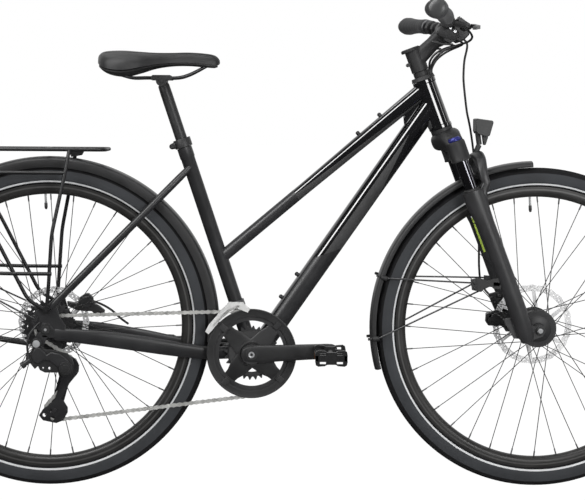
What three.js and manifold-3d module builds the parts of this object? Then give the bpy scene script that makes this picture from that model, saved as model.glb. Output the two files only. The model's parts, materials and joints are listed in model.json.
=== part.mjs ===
// Touring bicycle with a low top tube, suspension fork, mudguards, rack and derailleur gears.
// Millimetres. +X is forward, +Y is the rider's left, +Z is up, and the wheels stand on z = 0.
// While it is laid out, x = 0 is the rear axle; the whole group is centred at the end.
import * as THREE from "three";
import { mergeVertices } from "three/addons/utils/BufferGeometryUtils.js";
import Module from "manifold-3d";

const wasm = await Module();
wasm.setup();

const degree = Math.PI / 180;
const quarterTurn = Math.PI / 2;
const fullTurn = Math.PI * 2;

// Gaps and overruns that many pieces share.
const seam = 0.3; // between touching pieces
const running = 0.4; // round a turning or sliding piece
const overrun = 2; // by which a cutter passes its surface
const bite = 1.5; // by which fused shapes reach into each other
const weldDistance = 0.001; // within which corners are one

// Bicycle geometry.
const wheelbase = 1080;
const tyreRadius = 356;
const tyreWidth = 46;
const bottomBracketDrop = 54;
const bottomBracketAhead = 447; // of the rear axle
const seatTubeAngle = 71.3 * degree;
const headAngle = 69.5 * degree;
const rake = 47;
const steeringLean = quarterTurn - headAngle;

const rearAxle = { x: 0, z: tyreRadius };
const frontAxle = { x: wheelbase, z: tyreRadius };
const bottomBracket = { x: bottomBracketAhead, z: tyreRadius - bottomBracketDrop };

// Finishes, as colour, roughness and metalness.
const finishes = {
  gloss: { color: 0x0b0b0c, roughness: 0.25, metalness: 0.1 },
  satin: { color: 0x242526, roughness: 0.5, metalness: 0.3 },
  matte: { color: 0x1c1d1e, roughness: 0.7, metalness: 0.1 },
  rubber: { color: 0x2a2b2d, roughness: 0.85, metalness: 0 },
  steel: { color: 0x9b9c9d, roughness: 0.3, metalness: 0.9 },
  plastic: { color: 0x18191a, roughness: 0.6, metalness: 0 },
  darkSteel: { color: 0x37383a, roughness: 0.4, metalness: 0.8 },
  blue: { color: 0x1d2f8c, roughness: 0.4, metalness: 0.3 },
  lens: { color: 0xc9ced2, roughness: 0.1, metalness: 0 },
  red: { color: 0x8f1014, roughness: 0.25, metalness: 0 },
};

// Shape helpers.

const point = (x, y, z) => new THREE.Vector3(x, y, z);

function welded(geometry) {
  geometry.deleteAttribute("normal");
  geometry.deleteAttribute("uv");
  return mergeVertices(geometry, weldDistance);
}

function solidOf(geometry) {
  const whole = welded(geometry.clone());
  const source = whole.index.array;
  const faces = [];
  for (let i = 0; i < source.length; i += 3) {
    const [a, b, c] = [source[i], source[i + 1], source[i + 2]];
    if (a !== b && b !== c && c !== a) faces.push(a, b, c);
  }
  const made = (list) =>
    new wasm.Manifold(
      new wasm.Mesh({
        numProp: 3,
        vertProperties: new Float32Array(whole.attributes.position.array),
        triVerts: new Uint32Array(list),
      }),
    );
  const solid = made(faces);
  return solid.volume() > 0 ? solid : made(faces.reverse());
}

function geometryOf(solid) {
  const mesh = solid.getMesh();
  const geometry = new THREE.BufferGeometry();
  geometry.setAttribute("position", new THREE.BufferAttribute(mesh.vertProperties, mesh.numProp));
  geometry.setIndex(new THREE.BufferAttribute(mesh.triVerts, 1));
  return geometry;
}

function joined(...parts) {
  const solids = parts.flat().map(solidOf);
  return geometryOf(solids.reduce((sum, solid) => sum.add(solid)));
}

function carved(body, ...tools) {
  const solids = tools.flat().map(solidOf);
  return geometryOf(solids.reduce((left, tool) => left.subtract(tool), solidOf(body)));
}

function moved(geometry, x, y, z) {
  return geometry.clone().translate(x, y, z);
}

function capOf(ring, base, reversed) {
  const centre = ring.reduce((sum, p) => sum.add(p), point(0, 0, 0)).divideScalar(ring.length);
  const normal = point(0, 0, 0);
  ring.forEach((p, i) => {
    const next = ring[(i + 1) % ring.length];
    normal.add(p.clone().sub(centre).cross(next.clone().sub(centre)));
  });
  normal.normalize();
  const across = ring[0].clone().sub(centre).projectOnPlane(normal).normalize();
  const along = normal.clone().cross(across);
  const flat = ring.map((p) => {
    const arm = p.clone().sub(centre);
    return new THREE.Vector2(arm.dot(across), arm.dot(along));
  });
  return THREE.ShapeUtils.triangulateShape(flat, []).flatMap(([i, j, k]) => {
    const turn = flat[j].clone().sub(flat[i]).cross(flat[k].clone().sub(flat[i]));
    const forward = turn > 0 !== reversed;
    return forward ? [base + i, base + j, base + k] : [base + i, base + k, base + j];
  });
}

// A skin through rings of points, capped at both ends or closed on itself.
function loft(rings, closed = false) {
  const count = rings[0].length;
  const faces = [];
  const bands = closed ? rings.length : rings.length - 1;
  for (let i = 0; i < bands; i += 1) {
    const near = i * count;
    const far = ((i + 1) % rings.length) * count;
    for (let j = 0; j < count; j += 1) {
      const next = (j + 1) % count;
      faces.push(near + j, far + j, far + next, near + j, far + next, near + next);
    }
  }
  if (!closed) {
    const last = rings.length - 1;
    faces.push(...capOf(rings[0], 0, false));
    faces.push(...capOf(rings[last], last * count, true));
  }
  const geometry = new THREE.BufferGeometry();
  const numbers = rings.flat().flatMap((p) => [p.x, p.y, p.z]);
  geometry.setAttribute("position", new THREE.Float32BufferAttribute(numbers, 3));
  geometry.setIndex(faces);
  return geometry;
}

// A straight round bar between two points.
function rod(from, to, radius, sides = 8, endRadius = radius) {
  const way = to.clone().sub(from);
  const bar = new THREE.CylinderGeometry(endRadius, radius, way.length(), sides);
  const turn = new THREE.Quaternion().setFromUnitVectors(point(0, 1, 0), way.clone().normalize());
  const middle = from.clone().add(to).divideScalar(2);
  return bar.applyQuaternion(turn).translate(middle.x, middle.y, middle.z);
}

// A round bar across the bicycle, from y = low to y = high.
function crossBar(x, z, low, high, radius, sides = 10) {
  return rod(point(x, low, z), point(x, high, z), radius, sides);
}

// The radius of a many-sided bore whose flats keep clear of a given radius.
const around = (radius, sides) => radius / Math.cos(Math.PI / sides);

// A cutter for a round hole across the bicycle.
function crossBore(x, z, low, high, radius, sides = 10) {
  return crossBar(x, z, low, high, around(radius, sides), sides);
}

// A cutter for a round hole between two points.
function bore(from, to, radius, sides) {
  return rod(from, to, around(radius, sides), sides);
}

function roundShape(radius, sides) {
  const corners = Array.from({ length: sides }, (_, i) => {
    const angle = (i / sides) * fullTurn;
    return new THREE.Vector2(radius * Math.cos(angle), radius * Math.sin(angle));
  });
  return new THREE.Shape(corners);
}

// A round tube bent along points.
function bent(points, radius, steps, sides = 6, closed = false) {
  const extrudePath = new THREE.CatmullRomCurve3(points, closed, "centripetal");
  return new THREE.ExtrudeGeometry(roundShape(radius, sides), { steps, extrudePath });
}

// A slab with an outline in the side view, [x, z], from y = low to y = high.
function slab(outline, low, high, holes = []) {
  const shape = new THREE.Shape(outline.map(([x, z]) => new THREE.Vector2(x, z)));
  shape.holes = holes.map((hole) => new THREE.Path(hole.map(([x, z]) => new THREE.Vector2(x, z))));
  const geometry = new THREE.ExtrudeGeometry(shape, { depth: high - low, bevelEnabled: false });
  return geometry.rotateX(quarterTurn).translate(0, high, 0);
}

function circle(x, z, radius, sides, start = 0) {
  return Array.from({ length: sides }, (_, i) => {
    const angle = start + (i / sides) * fullTurn;
    return [x + radius * Math.cos(angle), z + radius * Math.sin(angle)];
  });
}

// Points along an arc in the side view.
function arcPoints(x, z, radius, from, to, steps) {
  return Array.from({ length: steps + 1 }, (_, i) => {
    const angle = from + ((to - from) * i) / steps;
    return [x + radius * Math.cos(angle), z + radius * Math.sin(angle)];
  });
}

// Part of a ring between two angles, as an outline in the side view.
function arcBand(x, z, inner, outer, from, to, steps) {
  return [...arcPoints(x, z, outer, from, to, steps), ...arcPoints(x, z, inner, to, from, steps)];
}

// A turned piece on an axle across the bicycle: a profile of [radius, y].
function turned(profile, sides, closed = true) {
  const points = profile.map(([radius, y]) => new THREE.Vector2(radius, y));
  if (closed) points.push(points[0].clone());
  return new THREE.LatheGeometry(points, sides);
}

// A thin curved channel round an axle: a section of [radius, y] swept from one angle to another.
function channel(section, centre, from, to, steps) {
  const rings = Array.from({ length: steps + 1 }, (_, i) => {
    const angle = from + ((to - from) * i) / steps;
    return section.map(([radius, y]) =>
      point(centre.x + radius * Math.cos(angle), y, centre.z + radius * Math.sin(angle)),
    );
  });
  return loft(rings);
}

// Both sides of the bicycle: a shape and its mirror image.
function mirrored(geometry) {
  return geometry.clone().scale(1, -1, 1);
}

function bothSides(geometry) {
  return [geometry, mirrored(geometry)];
}

const bicycle = new THREE.Group();

function piece(name, geometry, finish, parent = bicycle) {
  const material = new THREE.MeshStandardMaterial(finish);
  const mesh = new THREE.Mesh(geometryOf(solidOf(geometry)), material);
  mesh.name = name;
  parent.add(mesh);
  return mesh;
}

// Wheels: tyre, rim, hub with crossed spokes, brake rotor.

const rim = {
  outerRadius: 314,
  innerRadius: 291,
  halfWidth: 12.5,
  bedHalfWidth: 5,
  shoulder: 8,
};
const wheelSides = 28;

function tyre() {
  const bead = rim.outerRadius + seam;
  const height = tyreRadius - bead;
  const half = tyreWidth / 2;
  const outerShares = [
    [0, 0.5],
    [0.42, 1],
    [0.84, 0.66],
    [1, 0],
  ];
  const row = (shares, side) =>
    shares.map(([rise, width]) => [bead + rise * height, side * width * half]);
  const left = row(outerShares, 1);
  const right = row(outerShares.slice(0, -1), -1).reverse();
  return turned([...left, ...right], wheelSides);
}

function rimRing() {
  const half = [
    [rim.innerRadius, rim.bedHalfWidth],
    [rim.innerRadius + rim.shoulder, rim.halfWidth],
    [rim.outerRadius, rim.halfWidth],
  ];
  const other = half.map(([radius, y]) => [radius, -y]).reverse();
  return turned([...half, ...other], wheelSides);
}

const facetShare = Math.cos(Math.PI / wheelSides); // a facet's middle against its corners
const spoke = { radius: 1.2, count: 36, sides: 3, stagger: 1.9, rimHalf: 2.4 };

// A hub shell with its spokes. flanges gives each flange's radius and y; crossing is in degrees.
function hub(shell, hole, flanges, crossing) {
  const body = turned([...shell, [hole, shell.at(-1)[1]], [hole, shell[0][1]]], 12);
  const spokes = Array.from({ length: spoke.count }, (_, i) => {
    const side = i % 2;
    const sense = Math.floor(i / 2) % 2 ? 1 : -1;
    const flange = flanges[side];
    const rimAngle = (i / spoke.count) * fullTurn;
    const hubAngle = rimAngle + sense * crossing;
    const start = flange.radius - flange.inset;
    const end = rim.innerRadius * facetShare - seam;
    return rod(
      point(start * Math.cos(hubAngle), flange.y + sense * spoke.stagger, start * Math.sin(hubAngle)),
      point(end * Math.cos(rimAngle), Math.sign(flange.y) * spoke.rimHalf, end * Math.sin(rimAngle)),
      spoke.radius,
      spoke.sides,
    );
  });
  return joined(body, spokes);
}

const axleRadius = 5;
const axleBore = around(axleRadius + running, 10);

const frontHub = {
  shellRadius: 36,
  flangeRadius: 41.5,
  nearFlange: -30,
  farFlange: 24,
  flangeThickness: 6.4,
  endHalf: 40,
  endRadius: 13,
  faceRadius: 30,
  farEnd: 44,
  crossing: 40 * degree,
  inset: 3,
};
const rearHub = {
  shellRadius: 17,
  flangeRadius: 27,
  nearFlange: -17.5,
  farFlange: 30,
  flangeThickness: 6.4,
  nearEnd: -22,
  farEnd: 62,
  endRadius: 11,
  faceRadius: 20,
  crossing: 60 * degree,
  inset: 3,
};
const rotor = {
  frontRadius: 90,
  rearRadius: 80,
  band: 15,
  thickness: 1.8,
  frontY: 39.5,
  rearY: 51.5,
  bossRadius: 18,
  carrierRadius: 27,
  arms: 5,
  sides: 20,
};

function flangedShell(size, near, far) {
  const half = size.flangeThickness / 2;
  const seat = rotorSeat(far.rotorY);
  return [
    [size.endRadius, near.end],
    [size.flangeRadius, size.nearFlange - half],
    [size.flangeRadius, size.nearFlange + half],
    [size.shellRadius, size.nearFlange + half],
    [size.shellRadius, size.farFlange - half],
    [size.flangeRadius, size.farFlange - half],
    [size.flangeRadius, size.farFlange + half],
    [size.faceRadius, seat],
    [rotor.bossRadius, seat],
    [size.endRadius, far.end],
  ];
}

// The shoulder that a rotor sits against.
function rotorSeat(rotorY) {
  return rotorY - rotor.thickness / 2 - seam;
}

function rotorPlate(radius, y) {
  const half = rotor.thickness / 2;
  const hole = around(rotor.bossRadius + seam, 10);
  const windowFrom = rotor.carrierRadius;
  const windowTo = radius - rotor.band;
  const pitch = fullTurn / rotor.arms;
  const windowShare = 0.78;
  const windows = Array.from({ length: rotor.arms }, (_, i) =>
    arcBand(0, 0, windowFrom, windowTo, i * pitch, (i + windowShare) * pitch, 1),
  );
  return slab(circle(0, 0, radius, rotor.sides), y - half, y + half, [...windows, circle(0, 0, hole, 10)]);
}

function wheel(prefix, centre, size, near, far, rotorRadius) {
  const group = new THREE.Group();
  group.position.set(centre.x, 0, centre.z);
  bicycle.add(group);
  const flanges = [
    { radius: size.flangeRadius, y: size.farFlange, inset: size.inset },
    { radius: size.flangeRadius, y: size.nearFlange, inset: size.inset },
  ];
  const shell = flangedShell(size, near, far);
  piece(`${prefix}_tyre`, tyre(), finishes.rubber, group);
  piece(`${prefix}_rim`, rimRing(), finishes.satin, group);
  piece(`${prefix}_hub`, hub(shell, axleBore, flanges, size.crossing), finishes.satin, group);
  piece(`${prefix}_rotor`, rotorPlate(rotorRadius, far.rotorY), finishes.steel, group);
}

wheel(
  "front",
  frontAxle,
  frontHub,
  { end: -frontHub.endHalf },
  { end: frontHub.farEnd, rotorY: rotor.frontY },
  rotor.frontRadius,
);
wheel(
  "rear",
  rearAxle,
  rearHub,
  { end: rearHub.nearEnd },
  { end: rearHub.farEnd, rotorY: rotor.rearY },
  rotor.rearRadius,
);

// Chain drive: one roller chain over the outer chainring, one sprocket and two pulleys.

const chainPitch = 12.7;
const chain = {
  rollerHalf: 3.1,
  plateHalf: 4.1,
  waistHalf: 2.6,
  innerHalf: 1.8,
  outerHalf: 2.85,
};
const tooth = { width: 1.8, rootGap: 0.4, tip: 3 };
const ringTeeth = 46;
const smallRingTeeth = 28;
const drivenTeeth = 13;
const pulleyTeeth = 11;
const cassetteTeeth = [11, 13, 15, 18, 21, 24, 28];
const sprocketPitch = 5;
const smallestSprocketY = -59;
const ringY = -51.5;
const smallRingY = -44.5;
const drivenY = smallestSprocketY + sprocketPitch;
const pulleyY = drivenY;
const pitchRadius = (teeth) => chainPitch / (2 * Math.sin(Math.PI / teeth));

const cagePivot = { x: 44, z: 270 };
const cageLength = 97;
const cageAngleSeen = 251.5 * degree; // how the cage hangs, before the chain's length sets it

const wheelOn = (centre, teeth, sense) => ({ ...centre, teeth, sense, radius: pitchRadius(teeth) });

// The wheels in the order in which the chain meets them; sense is 1 for clockwise from the right side.
function chainWheels(cageAngle) {
  const tension = {
    x: cagePivot.x + cageLength * Math.cos(cageAngle),
    z: cagePivot.z + cageLength * Math.sin(cageAngle),
  };
  return [
    wheelOn(rearAxle, drivenTeeth, 1),
    wheelOn(bottomBracket, ringTeeth, 1),
    wheelOn(tension, pulleyTeeth, 1),
    wheelOn(cagePivot, pulleyTeeth, -1),
  ];
}

// The direction of the straight run from one wheel to the next, and its two ends.
function runBetween(a, b) {
  const way = new THREE.Vector2(b.x - a.x, b.z - a.z);
  const lean = Math.asin((a.sense * a.radius - b.sense * b.radius) / way.length());
  const heading = way.angle() - lean;
  const side = [-Math.sin(heading), Math.cos(heading)];
  const touch = (w) => ({ x: w.x + w.sense * w.radius * side[0], z: w.z + w.sense * w.radius * side[1] });
  const from = touch(a);
  const to = touch(b);
  return { heading, from, to, length: Math.hypot(to.x - from.x, to.z - from.z) };
}

// The whole loop as straight runs and wraps, with a wrap's length counted in teeth.
function chainLoop(cageAngle) {
  const wheels = chainWheels(cageAngle);
  const runs = wheels.map((w, i) => runBetween(w, wheels[(i + 1) % wheels.length]));
  const stretches = [];
  wheels.forEach((w, i) => {
    const before = runs[(i + wheels.length - 1) % wheels.length].heading;
    const after = runs[i].heading;
    const turn = (((w.sense * (before - after)) % fullTurn) + fullTurn) % fullTurn;
    stretches.push({ wheel: w, turn, start: before, length: (turn / fullTurn) * w.teeth * chainPitch });
    stretches.push({ run: runs[i], length: runs[i].length });
  });
  return { wheels, stretches, length: stretches.reduce((sum, s) => sum + s.length, 0) };
}

const seenLength = chainLoop(cageAngleSeen).length;
const linkCount = Math.round(seenLength / chainPitch / 2) * 2;

// The cage hangs where the chain's whole number of links lets it.
function settledCageAngle() {
  const reach = 25 * degree;
  let low = cageAngleSeen - reach;
  let high = cageAngleSeen + reach;
  const excess = (angle) => chainLoop(angle).length - linkCount * chainPitch;
  const sign = Math.sign(excess(high) - excess(low));
  for (let i = 0; i < 50; i += 1) {
    const middle = (low + high) / 2;
    if (sign * excess(middle) > 0) high = middle;
    else low = middle;
  }
  return (low + high) / 2;
}

const cageAngle = settledCageAngle();
const loop = chainLoop(cageAngle);
const tensionPivot = { x: loop.wheels[2].x, z: loop.wheels[2].z };

function placeOnLoop(distance) {
  let left = distance;
  for (const stretch of loop.stretches) {
    if (left < stretch.length) {
      if (stretch.run) {
        const { from, to, heading } = stretch.run;
        const share = left / stretch.length;
        return { x: from.x + (to.x - from.x) * share, z: from.z + (to.z - from.z) * share, heading };
      }
      const { wheel: w, turn, start } = stretch;
      const heading = start - (w.sense * turn * left) / stretch.length;
      const angle = heading + w.sense * quarterTurn;
      return { x: w.x + w.radius * Math.cos(angle), z: w.z + w.radius * Math.sin(angle), heading, wheel: w };
    }
    left -= stretch.length;
  }
  return placeOnLoop(0);
}

// The chain runs slightly skewed, from the sprocket's plane to the chainring's.
const skewStart = cagePivot.x + pitchRadius(pulleyTeeth) + chainPitch;
const skewEnd = bottomBracket.x - pitchRadius(ringTeeth) - chainPitch;
function chainY(x) {
  const share = THREE.MathUtils.clamp((x - skewStart) / (skewEnd - skewStart), 0, 1);
  return drivenY + (ringY - drivenY) * share;
}

const pins = Array.from({ length: linkCount }, (_, i) => placeOnLoop(i * chainPitch));

// The angle at which a wheel holds one of the chain's pins, seen from its centre.
function pinAngleOn(w) {
  const pin = pins.find((p) => p.wheel && p.wheel.x === w.x && p.wheel.z === w.z);
  return Math.atan2(pin.z - w.z, pin.x - w.x);
}

// Bevelled side plates, every other pair waisted between its pins, and a roller at each pin:
// an unbroken ladder.
function chainLadder() {
  const numbers = [];
  const faces = [];
  const add = (at, along, rise, y) => {
    const cos = Math.cos(at.heading);
    const sin = Math.sin(at.heading);
    numbers.push(at.x + along * cos - rise * sin, y, at.z + along * sin + rise * cos);
    return numbers.length / 3 - 1;
  };
  const { plateHalf, waistHalf, rollerHalf, innerHalf, outerHalf } = chain;
  const stations = pins.map((pin, i) => {
    const next = pins[(i + 1) % linkCount];
    const heading = Math.atan2(next.z - pin.z, next.x - pin.x);
    const middle = { x: (pin.x + next.x) / 2, z: (pin.z + next.z) / 2, heading };
    const waisted = i % 2 === 0;
    return [1, -1].map((side) => ({
      side,
      top: add(pin, 0, plateHalf, chainY(pin.x) + side * outerHalf),
      ahead: add(pin, rollerHalf, 0, chainY(pin.x) + side * innerHalf),
      low: add(pin, 0, -plateHalf, chainY(pin.x) + side * outerHalf),
      behind: add(pin, -rollerHalf, 0, chainY(pin.x) + side * innerHalf),
      waistTop: waisted && add(middle, 0, waistHalf, chainY(middle.x) + side * outerHalf),
      waistLow: waisted && add(middle, 0, -waistHalf, chainY(middle.x) + side * outerHalf),
      waisted,
    }));
  });
  const face = (side, ...corners) => {
    const order = side > 0 ? corners : corners.reverse();
    for (let i = 1; i + 1 < order.length; i += 1) faces.push(order[0], order[i], order[i + 1]);
  };
  stations.forEach((station, i) => {
    station.forEach((a, k) => {
      const b = stations[(i + 1) % linkCount][k];
      const { side, waistTop, waistLow } = a;
      if (!a.waisted) {
        face(side, a.top, b.top, b.low, a.low);
        face(side, a.top, a.ahead, b.behind, b.top);
        face(side, a.ahead, a.low, b.low, b.behind);
        return;
      }
      face(side, a.top, waistTop, waistLow, a.low);
      face(side, waistTop, b.top, b.low, waistLow);
      face(side, a.top, a.ahead, waistTop);
      face(side, a.ahead, b.behind, waistTop);
      face(side, waistTop, b.behind, b.top);
      face(side, a.ahead, a.low, waistLow);
      face(side, a.ahead, waistLow, b.behind);
      face(side, b.behind, waistLow, b.low);
    });
    const [left, right] = station.map((a) => [a.top, a.ahead, a.low, a.behind]);
    left.forEach((corner, j) => {
      const k = (j + 1) % left.length;
      faces.push(left[k], corner, right[j], left[k], right[j], right[k]);
    });
  });
  const geometry = new THREE.BufferGeometry();
  geometry.setAttribute("position", new THREE.Float32BufferAttribute(numbers, 3));
  geometry.setIndex(faces);
  return geometry;
}

// Teeth round a wheel: V-shaped gaps that hold the rollers. phase is the angle of one gap.
function toothOutline(teeth, phase) {
  const radius = pitchRadius(teeth);
  const shares = [
    [0, radius - chain.plateHalf - tooth.rootGap],
    [0.5, radius + tooth.tip],
  ];
  return Array.from({ length: teeth }, (_, i) =>
    shares.map(([share, r]) => {
      const angle = phase + ((i + share) / teeth) * fullTurn;
      return [r * Math.cos(angle), r * Math.sin(angle)];
    }),
  ).flat();
}

piece("chain", chainLadder(), finishes.steel);

const cassette = {
  carrierRadius: 15.5,
  lockRadius: 17,
  lockThickness: 1.6,
  innerEnd: rearHub.nearEnd - running,
};

function cassetteStack() {
  const half = tooth.width / 2;
  const cogs = cassetteTeeth.map((teeth, i) => {
    const y = smallestSprocketY + i * sprocketPitch;
    const phase = teeth === drivenTeeth ? pinAngleOn(loop.wheels[0]) : 0;
    return slab(toothOutline(teeth, phase), y - half, y + half);
  });
  const outside = smallestSprocketY - half;
  const carrier = crossBar(0, 0, outside - bite, cassette.innerEnd, cassette.carrierRadius, 6);
  const lockEnd = outside - cassette.lockThickness;
  const lock = crossBar(0, 0, lockEnd, outside + bite / 2, cassette.lockRadius, 10);
  const hole = crossBar(0, 0, lockEnd - overrun, cassette.innerEnd + overrun, axleBore, 10);
  return moved(carved(joined(carrier, lock, cogs), hole), rearAxle.x, 0, rearAxle.z);
}
piece("cassette", cassetteStack(), finishes.darkSteel);

// Crankset: spindle, spider and right arm in one piece, two chainrings, guard ring, left arm, pedals.

const crank = {
  length: 170,
  angle: 3 * degree,
  rootHalf: 18.5,
  tipHalf: 16,
  armThickness: 13,
  armInner: 60,
  flare: 8,
  spindleRadius: 12,
  bossRadius: 22,
  spiderThickness: 4.6,
  spiderRadius: 80,
  spiderHalf: 9,
  hubRadius: 26,
  armSteps: 5,
};
const ring = { outerInside: 72, outerTab: 62, innerInside: 47, innerTab: 43, tabHalf: 9 };
const guard = { radius: 97, inside: 81, thickness: 2, outerFace: 57.6, bossRadius: 6, bossAt: 78 };
const spiderArms = 4;
const spiderAngle = (i) => crank.angle + ((i + 0.5) * fullTurn) / spiderArms;

function radialBar(angle, from, to, half) {
  const cos = Math.cos(angle);
  const sin = Math.sin(angle);
  const corners = [
    [from, -half],
    [to, -half],
    [to, half],
    [from, half],
  ];
  return corners.map(([along, across]) => [along * cos - across * sin, along * sin + across * cos]);
}

// A crank arm along +X from the spindle's centre, lying on the +Y side of its inner face.
function crankArm() {
  const tip = crank.length;
  const rounded = (x, half, from, to) =>
    Array.from({ length: crank.armSteps + 1 }, (_, i) => {
      const angle = from + ((to - from) * i) / crank.armSteps;
      return [x + half * Math.cos(angle), half * Math.sin(angle)];
    });
  const root = rounded(0, crank.rootHalf, quarterTurn, quarterTurn * 3);
  const end = rounded(tip, crank.tipHalf, -quarterTurn, quarterTurn);
  const arm = slab([...end, ...root], crank.armInner, crank.armInner + crank.armThickness);
  const lean = new THREE.Matrix4().makeShear(crank.flare / tip, 0, 0, 0, 0, 0);
  return arm.applyMatrix4(lean);
}

const pedal = {
  spindleRadius: 4.8,
  spindleLength: 62,
  collarRadius: 8,
  collarLength: 6,
  length: 68,
  width: 92,
  height: 24,
  wall: 7,
  hubHalf: 11,
};
const crankOuter = crank.armInner + crank.armThickness;
const collarEnd = crankOuter + crank.flare + pedal.collarLength;
const pedalFrom = collarEnd + running;

// The pedal's spindle and its collar, screwed into the +Y side of a crank arm.
function pedalSpindle(x, z) {
  return [
    crossBar(x, z, crankOuter, pedalFrom + pedal.spindleLength, pedal.spindleRadius, 8),
    crossBar(x, z, crankOuter, collarEnd, pedal.collarRadius, 8),
  ];
}

function rightCrank() {
  const spiderMiddle = (ringY + smallRingY) / 2;
  const spiderLow = spiderMiddle - crank.spiderThickness / 2;
  const spiderHigh = spiderMiddle + crank.spiderThickness / 2;
  const arms = Array.from({ length: spiderArms }, (_, i) =>
    slab(radialBar(spiderAngle(i), 0, crank.spiderRadius, crank.spiderHalf), spiderLow, spiderHigh),
  );
  const disc = slab(circle(0, 0, crank.hubRadius, 14), spiderLow, spiderHigh);
  const boss = crossBar(0, 0, bite - crankOuter, spiderHigh - bite, crank.bossRadius, 14);
  const spindle = crossBar(0, 0, spiderLow, crankOuter - bite, crank.spindleRadius, 12);
  const arm = mirrored(crankArm()).rotateY(-crank.angle);
  const pedalX = crank.length * Math.cos(crank.angle);
  const pedalZ = crank.length * Math.sin(crank.angle);
  const pedalPin = pedalSpindle(pedalX, pedalZ).map(mirrored);
  return moved(joined(arm, boss, disc, arms, spindle, pedalPin), bottomBracket.x, 0, bottomBracket.z);
}

function leftCrank() {
  const hole = crossBore(
    0,
    0,
    crank.armInner - overrun,
    crankOuter + overrun,
    crank.spindleRadius + seam,
    12,
  );
  const arm = joined(carved(crankArm(), hole), pedalSpindle(crank.length, 0));
  return moved(arm.rotateY(Math.PI - crank.angle), bottomBracket.x, 0, bottomBracket.z);
}

function chainring(teeth, y, inside, phase, tabTo) {
  const half = tooth.width / 2;
  const plate = slab(toothOutline(teeth, phase), y - half, y + half, [circle(0, 0, inside, 16)]);
  const tabs = Array.from({ length: spiderArms }, (_, i) =>
    slab(radialBar(spiderAngle(i), tabTo, inside + bite, ring.tabHalf), y - half, y + half),
  );
  return moved(joined(plate, tabs), bottomBracket.x, 0, bottomBracket.z);
}

function guardRing() {
  const inner = -guard.outerFace + guard.thickness;
  const bossEnd = ringY - tooth.width / 2 - seam;
  const hole = circle(0, 0, guard.inside, 18);
  const plate = slab(circle(0, 0, guard.radius, 26), -guard.outerFace, inner, [hole]);
  const bosses = Array.from({ length: spiderArms }, (_, i) => {
    const x = guard.bossAt * Math.cos(spiderAngle(i));
    const z = guard.bossAt * Math.sin(spiderAngle(i));
    return crossBar(x, z, -guard.outerFace, bossEnd, guard.bossRadius, 6);
  });
  return moved(joined(plate, bosses), bottomBracket.x, 0, bottomBracket.z);
}

piece("crank_right", rightCrank(), finishes.satin);
piece("crank_left", leftCrank(), finishes.satin);
const ringPhase = pinAngleOn(loop.wheels[1]);
const bigRing = chainring(ringTeeth, ringY, ring.outerInside, ringPhase, ring.outerTab);
const smallRing = chainring(smallRingTeeth, smallRingY, ring.innerInside, 0, ring.innerTab);
piece("chainring_outer", bigRing, finishes.matte);
piece("chainring_inner", smallRing, finishes.darkSteel);
piece("chain_guard", guardRing(), finishes.plastic);

// A pedal body about its spindle, on the +Y side of the crank.
function pedalBody() {
  const halfLength = pedal.length / 2;
  const halfHeight = pedal.height / 2;
  const cornerShares = [
    [-1, 0.45],
    [-0.85, 1],
    [0.85, 1],
    [1, 0.45],
    [1, -0.45],
    [0.85, -1],
    [-0.85, -1],
    [-1, -0.45],
  ];
  const outline = cornerShares.map(([x, z]) => [x * halfLength, z * halfHeight]);
  const block = slab(outline, pedalFrom, pedalFrom + pedal.width);
  const windowTop = halfHeight + overrun;
  const windows = [1, -1].map((way) => {
    const edges = [way * pedal.hubHalf, way * (halfLength - pedal.wall)];
    const [near, far] = [Math.min(...edges), Math.max(...edges)];
    const hole = [
      [near, -windowTop],
      [far, -windowTop],
      [far, windowTop],
      [near, windowTop],
    ];
    return slab(hole, pedalFrom + pedal.wall, pedalFrom + pedal.width - pedal.wall);
  });
  const hole = crossBore(
    0,
    0,
    pedalFrom - overrun,
    pedalFrom + pedal.spindleLength + running,
    pedal.spindleRadius + running,
    8,
  );
  return carved(block, windows, hole);
}

function placePedal(side, name) {
  const x = bottomBracket.x - side * crank.length * Math.cos(crank.angle);
  const z = bottomBracket.z - side * crank.length * Math.sin(crank.angle);
  const body = side > 0 ? pedalBody() : mirrored(pedalBody());
  piece(name, moved(body, x, 0, z), finishes.plastic);
}
placePedal(1, "pedal_left");
placePedal(-1, "pedal_right");

// Frame: tubes, stays, dropouts and bosses in one welded piece.

const tube = {
  headRadius: 24.5,
  headBore: 19,
  downRadius: 21.5,
  topRadius: 14,
  seatRadius: 15.5,
  shellRadius: 21,
  shellBore: 17.4,
  shellHalf: 36.5,
};

// Along the steering axis, measured from the foot of the perpendicular from the front axle.
const steer = {
  headLow: 490,
  headHigh: 603,
  downMeet: 541,
  topMeet: 586,
};
const steerFoot = {
  x: frontAxle.x - rake * Math.sin(headAngle),
  z: frontAxle.z - rake * Math.cos(headAngle),
};
const onSteering = (height, ahead = 0, y = 0) =>
  point(
    steerFoot.x - height * Math.cos(headAngle) + ahead * Math.sin(headAngle),
    y,
    steerFoot.z + height * Math.sin(headAngle) + ahead * Math.cos(headAngle),
  );
const seatTubeLength = 475;
const onSeatTube = (along, behind = 0, y = 0) =>
  point(
    bottomBracket.x - along * Math.cos(seatTubeAngle) - behind * Math.sin(seatTubeAngle),
    y,
    bottomBracket.z + along * Math.sin(seatTubeAngle) - behind * Math.cos(seatTubeAngle),
  );

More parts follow.
